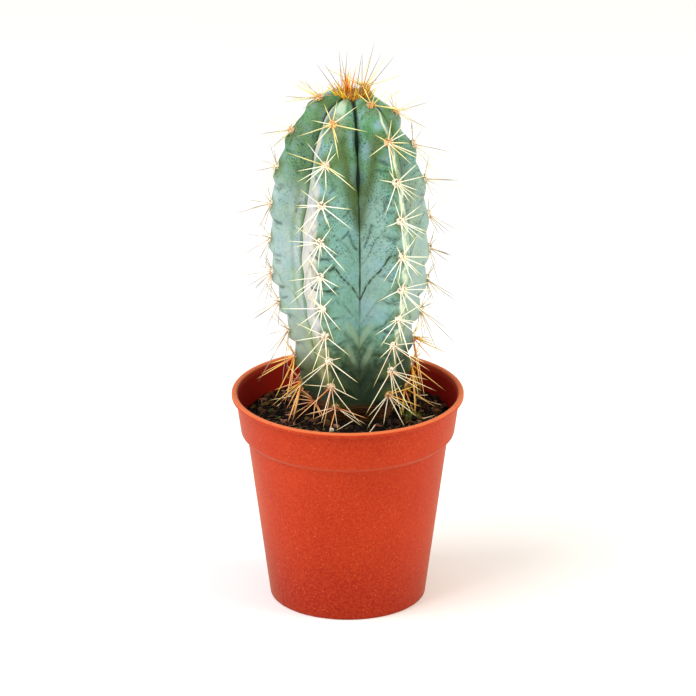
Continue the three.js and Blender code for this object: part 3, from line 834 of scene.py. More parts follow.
unevenness = clouds(rib_points, UNEVENNESS_PER_MM)
cork_share = smoothstep(rib_points[..., 2], CORK_TOP_Z, CORK_FULL_Z)
cork_waves = np.sin(rib_points[..., 2] * CORK_RADIANS_PER_MM + CORK_WANDER * unevenness)
relief = SWELLING * np.cos(2 * np.pi * seam) * smoothstep(turn, *SWELLING_TURNS) * stem_fade
relief = relief - SEAM_DEPTH * seam_power * groove(seam, SEAM_WIDTH)
relief = relief - SMILE_DEPTH * smile_power * groove(smile, SMILE_WIDTH)
relief = relief + UNEVENNESS * unevenness + CORK_RIDGE * cork_waves * cork_share
join = np.stack([relief[:, :, 0], np.roll(relief, 1, axis=0)[:, :, -1]]).mean(axis=0)
relief[:, :, 0] = join
relief[:, :, -1] = np.roll(join, -1, axis=0)
rib_points = rib_points + relief[..., None] * grid_normals(rib_points)
print(f"relief from {relief.min():.2f} to {relief.max():.2f} mm")

# %% [markdown]
# The six grids are sewn into one closed skin. Neighbouring ribs share the points in their furrow. The
# numbers that differ on the two sides of a furrow are stored at the corners of the faces, because a
# corner belongs to one face only, so nothing smears across the furrow.

# %% Sew the stem
COLUMNS = 2 * HALF_COLUMNS * RIBS


def sewn_points():
    """The rings of the foot, the rings of all six ribs together, and a point to close each end."""
    angles = (rib_angle(np.arange(RIBS))[:, None] + signed_turn[None, :-1] * np.pi / RIBS).ravel()
    roots = [stem_axis(np.full(COLUMNS, float(z))) + radius * outwards(angles)
             for radius, z in ROOT_RINGS]
    rings = [rib_points[:, n, :-1].reshape(-1, 3) for n in range(RINGS)]
    low = stem_axis(np.array([ROOT_RINGS[0][1]], float))
    high = stem_axis(np.array([crest_line[-1, 1]]))
    return np.vstack([*roots, *rings, low, high])


def sewn_faces(points):
    """Faces between all rings, then the lower end and then the upper one."""
    count = RINGS + len(ROOT_RINGS)
    faces = ring_quads(count, COLUMNS).tolist()
    faces += cap_faces(len(points) - 2, 0, COLUMNS, turned=True)
    faces += cap_faces(len(points) - 1, (count - 1) * COLUMNS, COLUMNS)
    return faces


def corner_values(grid, root_value):
    """A grid's numbers at each face corner, in the order that the faces were made."""
    rings = np.concatenate([np.full((RIBS, len(ROOT_RINGS), grid.shape[2]), root_value), grid], axis=1)
    corners = [rings[:, :-1, :-1], rings[:, :-1, 1:], rings[:, 1:, 1:], rings[:, 1:, :-1]]
    quads = np.stack(corners, axis=-1).transpose(1, 0, 2, 3).ravel()
    last = grid[:, -1, :-1].ravel()
    return np.concatenate([quads, np.full(3 * COLUMNS, root_value), np.repeat(last, 3)])


print(f"{COLUMNS} columns in {RINGS + len(ROOT_RINGS)} rings")

# %% [markdown]
# ## Skin of the stem
# The skin is blue-green under a whitish film of wax. The wax is thick on some flanks and is rubbed off
# round the areoles, where olive green shows. Its whitest stripes, on the flanks that face the lamps, are
# partly painted light, and the pale mint stripes on some crests are painted highlights. The crown is a
# fresh green, the foot is dark green and then corky brown. A living skin is never one colour, so the recipe
# lays one step over another, from the ground colour up. Each step is a short function that takes the
# colour so far and returns it.

# %% Colour the ground, the crown and the foot
OLIVE = srgb(74, 98, 46)


def ground_colour(skin, mottle):
    """Patches of green, teal and grey, with pale mottling and small dark stains."""
    colour = skin.ramp(skin.noise(0.08, detail=3), (0.34, srgb(106, 152, 128)), (0.48, srgb(124, 166, 148)),
                       (0.6, srgb(124, 166, 170)), (0.7, srgb(148, 172, 184)))
    colour = skin.paint(skin.between(mottle, 0.42, 0.66, 0, 0.36), colour, srgb(160, 190, 174))
    stains = skin.between(skin.noise(0.8, detail=3), 0.44, 0.34, 0, 0.35)
    return skin.paint(stains, colour, srgb(66, 114, 94))


def young_colour(skin, colour, row_now):
    """Fresh green in the upper rows, bluer in patches."""
    green = skin.ramp(skin.noise(0.16, detail=3), (0.4, srgb(56, 120, 50)), (0.5, srgb(84, 140, 88)),
                      (0.58, srgb(104, 150, 142)), (0.68, srgb(124, 152, 160)))
    return skin.paint(skin.between(row_now, 7.0, 9.4, 0, 0.75), colour, green)


def foot_colour(skin, colour, row_now, mottle):
    """Green above the mix, and nearly black green close to it."""
    uneven = skin.sum("ADD", row_now, skin.between(mottle, 0.3, 0.7, -0.3, 0.3))
    colour = skin.paint(skin.between(uneven, 4.6, 3.0, 0, 0.5), colour, srgb(80, 120, 66))
    return skin.paint(skin.between(uneven, 3.6, 1.9, 0, 0.93), colour, srgb(24, 42, 15))


def cork_colour(skin, colour):
    fibres = skin.noise(0.5, detail=4, stretch=(0.25, 0.25, 3))
    cork = skin.ramp(fibres, (0.35, srgb(40, 22, 9)), (0.6, srgb(92, 56, 24)))
    return skin.paint(skin.stored("cork"), colour, cork)


# %% [markdown]
# Wax with its painted highlights, wear, and marks with painted shadow in their creases come next. A crease
# or a seam is found by a stored number that is whole along it, and a little noise added to that number
# makes the line waver as a grown one does.

# %% Colour the wax, the wear and the marks
def signed_fraction(skin, name, wobble=0.0):
    """How far a stored number is past a whole number, from -0.5 to 0.5, with a wobble added."""
    shifted = skin.sum("ADD", skin.sum("ADD", skin.stored(name), 0.5), wobble)
    return skin.sum("SUBTRACT", skin.sum("FRACT", shifted), 0.5)


def striped_colour(skin, colour, name, over):
    """The stripes of one kind, streaky along the stem."""
    uneven = skin.between(skin.noise(0.2, detail=4, stretch=(1, 1, 0.35)), 0.32, 0.5, 0.65, 1)
    return skin.paint(skin.sum("MULTIPLY", skin.stored(name), uneven), colour, over)


def wax_colours(skin, colour):
    """Teal film, then white wax with a lilac tinge, partly painted light, then painted mint highlights on
    crests.
    """
    white = skin.ramp(skin.noise(0.25, detail=3), (0.4, srgb(184, 182, 190)), (0.58, srgb(200, 195, 177)))
    colour = striped_colour(skin, colour, "teal", srgb(110, 168, 166))
    # Partly wax bloom and partly painted light: the whitest stripes lie on flanks that face the lamps.
    colour = striped_colour(skin, colour, "wax_and_light", white)
    # Painted highlight: pale mint stripes along crests and on the tops of ribs, where they catch the light.
    return striped_colour(skin, colour, "mint_highlight", srgb(208, 222, 198))


def worn_colours(skin, colour, row_now, mottle):
    """Olive where the wax is rubbed off round an areole, further out near the crown."""
    reach = skin.between(row_now, 7.4, 8.8, 5.2, 7.5)
    near_areole = skin.between(skin.sum("DIVIDE", skin.stored("areole_mm"), reach), 1.0, 0.3)
    worn = skin.sum("MULTIPLY", near_areole, skin.between(mottle, 0.38, 0.58, 0.3, 0.8))
    return skin.paint(worn, colour, srgb(82, 100, 42))


def seam_colours(skin, colour, row_now):
    """Dark seams with a green shade along them, pale folds low down, and painted shadow in the smile
    creases.
    """
    wobble = skin.between(skin.noise(0.16, detail=2), 0.3, 0.7, -0.06, 0.06)
    broken = skin.between(skin.noise(0.5, detail=2), 0.36, 0.54, 0.3, 1)
    seam_away = skin.sum("ABSOLUTE", signed_fraction(skin, "seam", wobble))
    power = skin.sum("MULTIPLY", skin.stored("seam_power"), broken)
    shade = skin.sum("MULTIPLY", skin.between(seam_away, 0.22, 0.03, 0, 0.4), power)
    colour = skin.paint(shade, colour, srgb(82, 108, 62))
    fainter_below = skin.between(row_now, 3.2, 4.4, 0.3, 1)
    thin = skin.sum("MULTIPLY", skin.between(seam_away, 0.065, 0.02), fainter_below)
    colour = skin.paint(skin.sum("MULTIPLY", thin, power), colour, srgb(34, 60, 38))
    colour = skin.paint(skin.sum("MULTIPLY", skin.stored("fold"), 0.55), colour, srgb(154, 180, 146))
    # Painted shadow: the dark crease under each areole stands for the shadow of the chin above it.
    smile_away = skin.sum("ABSOLUTE", signed_fraction(skin, "smile", wobble))
    crease_shadow = skin.sum("MULTIPLY", skin.between(smile_away, 0.08, 0.02), skin.stored("smile_power"))
    return skin.paint(skin.sum("MULTIPLY", crease_shadow, broken), colour, srgb(36, 54, 28))


def furrow_colours(skin, colour, row_now, mottle):
    """Olive, partly painted shade, in the furrows, and a painted shade line along each, nearly black in the
    cleft.
    """
    olive_and_shade = skin.sum("MULTIPLY", skin.stored("olive_and_shade"), skin.between(mottle, 0.3, 0.55, 0.85, 1))
    # Olive in the furrows: partly the skin's own olive and partly painted shade.
    colour = skin.paint(olive_and_shade, colour, OLIVE)
    # Painted shade: a dark line along the bottom of each furrow, nearly black in the deep cleft near the
    # crown.
    width = skin.between(row_now, 7.2, 8.6, 0.6, 1.2)
    line = skin.between(skin.sum("DIVIDE", skin.stored("furrow_mm"), width), 1.0, 0.35)
    depth = skin.sum("MULTIPLY", skin.stored("furrow_shade_line"), skin.between(row_now, 3.4, 5.2, 0.15, 1))
    return skin.paint(skin.sum("MULTIPLY", line, depth), colour, srgb(22, 38, 22))


def speck_colours(skin, colour, row_now):
    """Dark specks of two sizes, in clouds, mostly on the upper half, and none on the wax and mint highlight
    stripes.
    """
    bare = skin.between(skin.sum("MAXIMUM", skin.stored("wax_and_light"), skin.stored("mint_highlight")), 0, 0.8, 1, 0.06)
    for per_mm, least, cloud_per_mm in ((1.2, 0.55, 0.13), (2.1, 0.54, 0.19)):
        specks = skin.between(skin.noise(per_mm, detail=2), least, least + 0.09)
        clouds_of_specks = skin.between(skin.noise(cloud_per_mm, detail=2), 0.42, 0.58, 0.1, 1)
        share = skin.sum("MULTIPLY", specks, clouds_of_specks)
        share = skin.sum("MULTIPLY", share, skin.between(row_now, 3.5, 7.5, 0.16, 0.8))
        share = skin.sum("MULTIPLY", share, bare)
        colour = skin.paint(share, colour, srgb(26, 62, 50))
    return colour


# %% [markdown]
# The whole recipe puts these steps in the order in which they lie on a real stem: first the colour of the
# flesh, then the wax on it with its painted highlights, what is worn off, the lines and scars with the
# painted shade in the furrows and creases, and last the specks and the cork. The gloss follows the same
# mottling, because thick wax is duller than bare skin.

# %% Finish the skin
def skin_finish():
    skin = Finish("waxy_skin", Specular_IOR_Level=0.26, Sheen_Weight=0.06, Sheen_Roughness=0.4)
    row_now = skin.stored("row")
    mottle = skin.noise(0.4, detail=4, roughness=0.6)
    colour = young_colour(skin, ground_colour(skin, mottle), row_now)
    colour = wax_colours(skin, foot_colour(skin, colour, row_now, mottle))
    colour = striped_colour(skin, colour, "straw", srgb(158, 160, 106))
    colour = striped_colour(skin, colour, "moss", srgb(90, 126, 62))
    colour = seam_colours(skin, worn_colours(skin, colour, row_now, mottle), row_now)
    colour = furrow_colours(skin, colour, row_now, mottle)
    colour = skin.paint(skin.stored("scar"), colour, srgb(34, 56, 42))
    colour = cork_colour(skin, speck_colours(skin, colour, row_now))
    skin.feed(skin.shader.inputs["Roughness"], skin.between(mottle, 0.3, 0.7, 0.42, 0.62))
    skin.bump(skin.noise(1.2, detail=3), 0.06)
    return skin.done(colour)


# %% [markdown]
# Some numbers need a little thought. White wax, mint, teal, straw and mossy green lie in long stripes. The
# white wax is partly painted light on the flanks that face the lamps, and the mint stripes are painted
# highlights on crests. Each stripe has a rib, the turns that it lies between, the softness of its edges,
# its thickness and its lowest and highest row. A turn below 0 lies on the left flank of its rib. Olive
# gathers in the furrows of the upper half, partly the skin's own and partly painted shade, and runs up from
# the front one in a V where the young humps part. Close to the mix, pale folds run steeply up from each
# furrow like the barbs of a feather.

# %% Place the stripes, the olive and the folds
STRIPES = {
    "wax_and_light": [(0, -0.8, 0.85, 0.2, 0.4, 2.6, 7.4), (1, -0.99, -0.14, 0.06, 1.0, 3.3, 7.6),
            (1, -0.96, -0.52, 0.1, 0.85, 7.6, 9.9), (2, -0.9, -0.35, 0.15, 0.15, 4.6, 7.4),
            (3, -0.85, -0.2, 0.15, 0.35, 3.0, 7.4), (4, -0.6, 0.0, 0.15, 0.7, 2.0, 8.6),
            (5, 0.2, 0.85, 0.15, 0.6, 2.2, 8.2)],
    "mint_highlight": [(1, -0.1, 0.3, 0.15, 0.6, 9.7, 10.8), (2, 0.07, 0.2, 0.05, 0.9, 3.4, 10.6),
             (2, 0.3, 0.9, 0.15, 0.35, 3.2, 6.8), (3, -0.1, 0.3, 0.12, 0.4, 9.4, 11.0),
             (5, -0.1, 0.1, 0.08, 0.7, 3.0, 10.0)],
    "straw": [(1, -0.95, -0.05, 0.12, 0.65, 1.9, 2.8), (0, 0.2, 0.95, 0.15, 0.25, 1.8, 3.0),
              (2, 0.3, 0.95, 0.15, 0.5, 1.8, 3.0), (4, 0.2, 0.95, 0.15, 0.5, 1.8, 3.0)],
    "teal": [(0, -0.3, 0.55, 0.2, 0.55, 2.6, 7.4), (3, -0.55, 0.3, 0.2, 0.6, 3.0, 8.2),
             (2, 0.35, 1.0, 0.15, 0.35, 4.0, 7.4), (1, 0.25, 0.9, 0.2, 0.35, 3.6, 7.2),
             (2, -0.95, -0.25, 0.2, 0.35, 3.6, 7.6)],
    "moss": [(0, 0.93, 1.1, 0.05, 0.6, 2.2, 8.6), (0, 0.66, 0.7, 0.04, 0.4, 4.4, 8.6),
             (0, 0.1, 0.8, 0.2, 0.4, 8.2, 9.4), (2, 0.35, 1.0, 0.15, 0.55, 7.8, 9.8),
             (1, 0.2, 0.6, 0.15, 0.45, 8.7, 9.2)],
}
STRIPE_FADE_ROWS = 0.9
OLIVE_ROWS = (6.9, 9.1)
OLIVE_ROW_FADE = 0.35
FRONT_OLIVE_SPREAD = {(1, 1): 0.6, (2, 0): 0.62}
OLIVE_SPREAD = 0.45
OLIVE_BEND = 0.9
OLIVE_WIDTH = 0.18
OLIVE_EDGE = 0.08
OLIVE_OPENS = (0.4, 0.85)
SIDE_OLIVE = 0.5
FRONT_SHADE = {"turns": (0.7, 1.0), "share": 0.6}
SIDE_SHADE = {"turns": (0.1, 0.8), "share": 0.55}
SHADE_ROWS = (5.8, 7.4)
WAX_HIDES_OLIVE = 0.9
FURROW_SHADE_LINES = {(0, 1): 0.6, (1, 0): 0.6, (1, 1): 0.9, (2, 0): 0.9}
FURROW_SHADE_LINE = 0.7
FOLD_ROWS = (2.5, 3.5)
FOLD_TURNS = (0.62, 0.95)
FOLD_ROW_FADE = 0.6
FOLD_TURN_FADE = 0.12
FOLDS_PER_TURN = 2.1


def plateau(value, low, high, edge):
    """One between low and high, falling smoothly to nothing over an edge outside them."""
    return smoothstep(value, low - edge, low) * (1 - smoothstep(value, high, high + edge))


def striped(stripes):
    """A grid that is up to 1 on the given stripes."""
    grid = np.zeros_like(rise)
    for rib, start, end, edge, thickness, low_row, high_row in stripes:
        across = plateau(signed_turn, start, end, edge)[None, :]
        along = plateau(row, low_row, high_row, STRIPE_FADE_ROWS)[:, None]
        grid[rib] = np.maximum(grid[rib], thickness * across * along)
    return grid


def olive_and_shade_share(turn, row, rib_side):
    """How olive the skin is, partly its own olive and partly painted shade: a V from the furrow, and a band
    beside it.
    """
    in_front = rib_side in FRONT_OLIVE_SPREAD
    up = np.clip((row - OLIVE_ROWS[0]) / (OLIVE_ROWS[1] - OLIVE_ROWS[0]), 0, 1)
    edge = 1 - FRONT_OLIVE_SPREAD.get(rib_side, OLIVE_SPREAD) * up ** OLIVE_BEND
    band = hill(turn, edge, OLIVE_WIDTH)
    inside = smoothstep(turn, edge - OLIVE_EDGE, edge) * (1 - smoothstep(up, *OLIVE_OPENS))
    strength = 1.0 if in_front else SIDE_OLIVE
    opening = strength * np.maximum(band, inside) * plateau(row, *OLIVE_ROWS, OLIVE_ROW_FADE)
    shade = FRONT_SHADE if in_front else SIDE_SHADE
    broad = smoothstep(turn, *shade["turns"]) * shade["share"] * smoothstep(row, *SHADE_ROWS)
    return np.maximum(opening, broad)


stripe_grids = {name: striped(stripes) for name, stripes in STRIPES.items()}
olive_and_shade, furrow_shade_line = np.zeros_like(rise), np.zeros_like(rise)
for rib in range(RIBS):
    for side in (0, 1):
        here = side_of_column == side
        olive_and_shade[rib][:, here] = olive_and_shade_share(turn[None, here], row[:, None], (rib, side))
        furrow_shade_line[rib][:, here] = FURROW_SHADE_LINES.get((rib, side), FURROW_SHADE_LINE)
olive_and_shade *= 1 - WAX_HIDES_OLIVE * stripe_grids["wax_and_light"]
fold_wave = np.cos(2 * np.pi * (row[:, None] + FOLDS_PER_TURN * turn[None, :]))
fold_across = plateau(turn[None, :], *FOLD_TURNS, FOLD_TURN_FADE)
fold_along = plateau(row[:, None], *FOLD_ROWS, FOLD_ROW_FADE)
fold = fold_across * fold_along * smoothstep(fold_wave, -0.6, 1.0)
print(f"olive covers {100 * (olive_and_shade > 0.5).mean():.0f} % of the skin")

# %% [markdown]
# Old scratches and wrinkles are short dark strokes. Each one is a line of (row, turn) points on a flank. A
# place on the skin takes the stroke's colour by its distance from the nearest point of the line. Three
# strokes beside the front furrow are given one by one, and the rest by chance, with most of them close to
# the crests, where the skin folds as the plant drinks and dries.

# %% Scratch and wrinkle the skin
FRONT_SCARS = [
    (1, 1, [(6.75, 0.66), (6.35, 0.8), (6.2, 0.92)], 1.0),
    (2, 0, [(6.9, 0.66), (6.5, 0.77), (6.25, 0.88)], 0.8),
    (1, 1, [(6.6, 0.5), (6.68, 0.62)], 0.9),
]
SCAR_WIDTH = 0.42
SCAR_BEND = 0.07
SCAR_STRENGTH = 0.8
SCAR_STEPS = 12
RANDOM_SCARS = 14
WRINKLED_ROWS = range(3, 9)
WRINKLES_PER_GAP = 2
ROW_MM = 1.3 * AREOLE_STEP
TURN_MM = 16
FAR_MM = 99.0


def wavy_line(start_row, start_turn, rows_on, turns_on):
    """A line of three points with a bend in its middle."""
    middle = (start_row + rows_on / 2 + draw.normal(0, SCAR_BEND), start_turn + turns_on / 2)
    return [(start_row, start_turn), middle, (start_row + rows_on, start_turn + turns_on)]


def distance_to_line(row_grid, turn_grid, line):
    """Millimetres from each place on a flank to a line of (row, turn) points."""
    nearest = np.full(np.broadcast_shapes(row_grid.shape, turn_grid.shape), FAR_MM)
    for (start_row, start_turn), (end_row, end_turn) in zip(line, line[1:]):
        for share in np.linspace(0, 1, SCAR_STEPS):
            rows_away = (row_grid - lerp(start_row, end_row, share)) * ROW_MM
            turns_away = (turn_grid - lerp(start_turn, end_turn, share)) * TURN_MM
            nearest = np.minimum(nearest, np.hypot(rows_away, turns_away))
    return nearest


scars = list(FRONT_SCARS)
for _ in range(RANDOM_SCARS):
    start_row, start_turn = draw.uniform(2.5, 9), draw.uniform(0.3, 0.8)
    line = wavy_line(start_row, start_turn, draw.normal(0, 0.2), draw.normal(0, 0.12))
    scars.append((int(draw.integers(RIBS)), int(draw.integers(2)), line, SCAR_STRENGTH))
for rib, side, n, _ in np.ndindex(RIBS, 2, len(WRINKLED_ROWS), WRINKLES_PER_GAP):
    start_row = WRINKLED_ROWS[n] + draw.uniform(0.25, 0.75) - row_shift(rib)
    line = wavy_line(start_row, draw.uniform(0.1, 0.22), draw.normal(0, 0.08), draw.uniform(0.08, 0.3))
    scars.append((rib, side, line, draw.uniform(0.2, 0.85)))
scar = np.zeros_like(rise)
for rib, side, line, strength in scars:
    here = side_of_column == side
    away = distance_to_line(row[:, None], turn[None, here], line)
    scar[rib][:, here] = np.maximum(scar[rib][:, here], strength * hill(away, 0, SCAR_WIDTH))
print(f"{len(scars)} scratches and wrinkles")

# %% [markdown]
# All the numbers that the recipe reads are at hand now, so the skin is made and each grid is stored on it
# under the name that the recipe uses. The foot in the mix has no grid of its own, so it gets one plain
# value for each number, such as full cork, and a distance of 9 mm where it has no areole or furrow.

# %% Make the stem
areole_mm = np.hypot(from_whole(rise) * row_mm, turn_mm)
furrow_mm = (1 - turn)[None, None, :] * (np.pi / RIBS) * crest_radius[None, :, None] + np.zeros_like(rise)
row_grid = row[None, :, None] + np.zeros_like(rise)
fold_grid = fold[None] + np.zeros_like(rise)
stem_points = sewn_points()
stem_skin = piece("stem_skin", stem_points, sewn_faces(stem_points), skin_finish(), "cactus_skin")
stem_grids = {
    "row": (row_grid, 0), "olive_and_shade": (olive_and_shade, 0), "furrow_shade_line": (furrow_shade_line, 0), "seam": (seam, 0.5),
    "seam_power": (seam_power, 0), "smile": (smile, 0.5), "smile_power": (smile_power, 0),
    "fold": (fold_grid, 0), "scar": (scar, 0), "areole_mm": (areole_mm, 9), "furrow_mm": (furrow_mm, 9),
    "cork": (cork_share, 1), **{name: (grid, 0) for name, grid in stripe_grids.items()},
}
for name, (grid, root_value) in stem_grids.items():
    store(stem_skin, name, corner_values(grid, root_value), "CORNER")
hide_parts("cactus")

# %% [markdown]
# ## Spines
# A spine is a straight stiff needle, thicker at its root and with a sharp point. Each one is a thin tube of
# a few rings that ends in a point. The same helper makes wool, moss and fibres, which are only shorter and
# thinner. Each point remembers how far along its needle it lies, and each needle has a shade of its own.
# All the needles of a kind are made at once as one mesh, because thousands of objects would be slow.

# %% Grow needles
NEEDLE_STATIONS = np.array([0, 0.09, 0.14, 0.35, 0.62, 0.86])
NEEDLE_TAPER = np.array([1.7, 1.7, 1.08, 0.98, 0.8, 0.46])
THREAD_STATIONS = np.array([0, 0.5])
THREAD_TAPER = np.array([1.0, 0.8])


def square_to(direction):
    """Two directions square to each given one and to each other."""
    helper = np.where(np.abs(direction[:, 2:3]) < 0.9, [[0, 0, 1.0]], [[1.0, 0, 0]])
    first = np.cross(helper, direction)
    first /= np.linalg.norm(first, axis=1, keepdims=True)
    return first, np.cross(direction, first)


def needles(roots, directions, lengths, radii, bends,
            stations=NEEDLE_STATIONS, taper=NEEDLE_TAPER, sides=6):
    """Points, faces and place along the needle for many tapered needles, and how many points each has."""
    first, second = square_to(directions)
    around = np.arange(sides) * 2 * np.pi / sides
    ring = np.cos(around)[None, :, None] * first[:, None] + np.sin(around)[None, :, None] * second[:, None]
    points = []
    for station, share in zip(stations, taper):
        middle = roots + directions * (lengths * station)[:, None] + bends * (station ** 2)
        points.append(middle[:, None] + ring * (radii * share)[:, None, None])
    tip = roots + directions * lengths[:, None] + bends
    points = np.concatenate([*points, tip[:, None]], axis=1)
    per_needle = points.shape[1]
    one = ring_quads(len(stations), sides).tolist()
    one += cap_faces(per_needle - 1, (len(stations) - 1) * sides, sides)
    one.append(list(range(sides))[::-1])
    faces = [[corner + per_needle * n for corner in face] for n in range(len(roots)) for face in one]
    along = np.append(np.repeat(stations, sides), 1.0)
    return points.reshape(-1, 3), faces, np.tile(along, len(roots)), per_needle


def needle_piece(name, finish, slot, batch, shades, **form):
    """A piece of many needles from a list of (root, direction, length, radius, bend)."""
    roots, directions, lengths, radii, bends = (np.array(column, float) for column in zip(*batch))
    points, faces, along, per_needle = needles(roots, directions, lengths, radii, bends, **form)
    made = piece(name, points, faces, finish, slot)
    store(made, "along", along)
    store(made, "shade", np.repeat(shades, per_needle))


# %% [markdown]
# Spines keep clear of things. A needle that would leave the measured model's outline is shortened, and one
# that would dive into the potting mix is turned up until it lies just above it. Those are the rules that
# the solid model was made by, so the fine spines stay in its space.

# %% Keep spines in their space
SPINE_REACH = 44.5
REACH_IN_POT = 38.5
IN_POT_Z = pot_height + 1
CEILING_Z = top_z - 0.2
LOW_ROOT_Z = pot_height + 25
ABOVE_MIX = 1.6
STEEPEST_RISE = 0.95
SHORTEST_SPINE = 2
TRIM_STEP = 0.25
SOIL_AT_WALL_Z = 72.6
SOIL_GAP = 0.42
HOLE_RADIUS = 16.1
collar_share = (SOIL_AT_WALL_Z - COLLAR_FOOT[1]) / (lip_foot_z - COLLAR_FOOT[1])
soil_wall_radius = lerp(COLLAR_FOOT[0], COLLAR_TOP_RADIUS, collar_share) - POT_WALL - SOIL_GAP
print(f"the mix meets the wall {soil_wall_radius:.1f} mm from the pot's axis")


def heap_z(x, y):
    """The height of the potting mix without its lumps."""
    away = np.hypot(np.asarray(x) - STEM_BASE_X, np.asarray(y) - STEM_Y)
    share = smoothstep((away - HOLE_RADIUS) / (soil_wall_radius - HOLE_RADIUS), 0, 1)
    return lerp(SOIL_AT_STEM_Z, SOIL_AT_WALL_Z, share)


def fitted(root, direction, length):
    """The direction and length of a spine that keeps clear of the mix, the pot and the outline."""
    tip = root + direction * length
    lowest = heap_z(tip[0], tip[1]) + ABOVE_MIX
    if tip[2] < lowest and root[2] < LOW_ROOT_Z:
        rise_share = np.clip((lowest - root[2]) / length, -STEEPEST_RISE, STEEPEST_RISE)
        level = direction[:2] / np.linalg.norm(direction[:2]) * math.sqrt(1 - rise_share ** 2)
        direction = np.array([*level, rise_share])
    while length > SHORTEST_SPINE:
        tip = root + direction * length
        reach = SPINE_REACH if tip[2] > IN_POT_Z else REACH_IN_POT
        if np.hypot(tip[0], tip[1]) < reach and tip[2] < CEILING_Z:
            break
        length -= TRIM_STEP
    return direction, length


# %% [markdown]
# Each areole bears about ten spines. Most lie close to the skin and point sideways and down, a few short
# ones point up, and two or three stand out from the middle. The fan is turned a little at random, and the
# lengths vary, so that no two areoles look alike. The ribs at the two sides, here called the grey ribs,
# have thinner spines, but stouter and more of them at their lowest areoles. On all ribs the spines that
# hang from the low areoles are longer, and more of them have dropped off. On one rib the lowest areole has
# died off, so its areoles start one row higher.
#
# The values for the lowest spines of a rib are the row up to which they count, the share of golden ones,
# and the shade of the others.

# %% Fan out the spines
SPINE_RADIUS = 0.21
THIN_SPINE_RADIUS = 0.17
STOUT_SPINE_RADIUS = 0.26
GREY_SHADE = 2.0
GOLDEN_SHADE = 3.0
GREY_RIBS = {0, 3}
GREY_ROWS = (2.8, 9.6)
LOWEST_ROW = {2: 1}
LOWEST_SPINES = {0: (2.8, 0.35, 0.05), 2: (1.2, 0.4, 0.3), 3: (2.8, 0.7, 0.05), 4: (1.6, 0.2, 0.05),
                 5: (1.2, 0.8, 0.05)}
FAN_TURNS = np.radians([8, 52, 92, 128, 158, 196, 228, 268, 312])
FAN_LENGTHS = np.array([7.5, 10.5, 13, 14, 12, 12.5, 15, 13, 9.5])
FAN_AGAIN_IF_STOUT = slice(2, 8)
FAN_TILTS = (60, 80)
FAN_SPREAD = 0.8
CENTRE_TURNS = np.radians([120, 185, 245])
CENTRE_LENGTHS = np.array([12, 14, 12.5])
CENTRE_TILTS = (22, 45)
CENTRE_SPREAD = 0.3
TURN_CHANCE = 0.2
LENGTH_CHANCE = (0.72, 1.25)
THICKNESS_CHANCE = (0.85, 1.1)
SPINE_BEND = 0.02
ROOT_LIFT = 0.25
ROOT_DEPTH = 0.7
LOW_ROWS = (1.4, 3.2)
LOW_STRETCH = 1.5
LOW_THINNING = 0.9
SKIPPED_SPINES = 0.12
LOW_SKIPS = 0.16
SKIPPED_WHERE_THIN = 0.15
UPWARDS = np.array([0, 0, 1.0])


def areole_frame(rib, place_row):
    """An areole's place and its directions out, across and up the rib."""
    radius, z, out_level, out_up = (float(v) for v in crest_at(place_row))
    level = outwards(rib_angle(rib))
    across = np.cross(UPWARDS, level)
    out = out_level * level + out_up * UPWARDS
    place = stem_axis(np.array([z]))[0] + radius * level - crest_dip(rib, place_row) * out
    return place, out, across, np.cross(out, across)


areoles = [(rib, n - row_shift(rib)) for rib in range(RIBS) for n in range(AREOLE_ROWS + 1)
           if n - row_shift(rib) >= LOWEST_ROW.get(rib, 0)]
print(f"{len(areoles)} areoles")


def areole_spines(rib, place_row):
    """The spines of one areole as (root, direction, length, radius, bend), with their shades."""
    place, out, across, up = areole_frame(rib, place_row)
    thin = rib in GREY_RIBS and place_row > GREY_ROWS[0]
    thickness = SPINE_RADIUS * lerp(LOW_THINNING, 1, smoothstep(place_row, 2, 4.5))
    if rib in GREY_RIBS:
        thickness = THIN_SPINE_RADIUS if thin else STOUT_SPINE_RADIUS
    spines, shades = [], []
    fan = [(turn_angle, draw.uniform(*FAN_TILTS), length, FAN_SPREAD)
           for turn_angle, length in zip(FAN_TURNS, FAN_LENGTHS)]
    fan += [(turn_angle, draw.uniform(*CENTRE_TILTS), length, CENTRE_SPREAD)
            for turn_angle, length in zip(CENTRE_TURNS, CENTRE_LENGTHS)]
    if rib in GREY_RIBS and not thin:
        fan += fan[FAN_AGAIN_IF_STOUT]
    low_share = plateau(place_row, *LOW_ROWS, 1.0)
    skipped = SKIPPED_WHERE_THIN if thin else SKIPPED_SPINES + LOW_SKIPS * low_share
    for turn_angle, tilt, length, spread in fan:
        if draw.random() < skipped:
            continue
        turned = turn_angle + draw.normal(0, TURN_CHANCE)
        tilt = math.radians(tilt)
        sideways = math.cos(turned) * up + math.sin(turned) * across
        direction = math.cos(tilt) * out + math.sin(tilt) * sideways
        root = place + spread * sideways + ROOT_LIFT * out
        hanging = 1 + (LOW_STRETCH - 1) * low_share * max(0.0, -math.cos(turned))
        direction, length = fitted(root, direction, hanging * length * draw.uniform(*LENGTH_CHANCE))
        bend = draw.normal(0, SPINE_BEND, 3) * length
        radius = thickness * draw.uniform(*THICKNESS_CHANCE)
        spines.append((root - ROOT_DEPTH * direction, direction, length + ROOT_DEPTH, radius, bend))
        shades.append(spine_shade(rib, place_row))
    return spines, shades


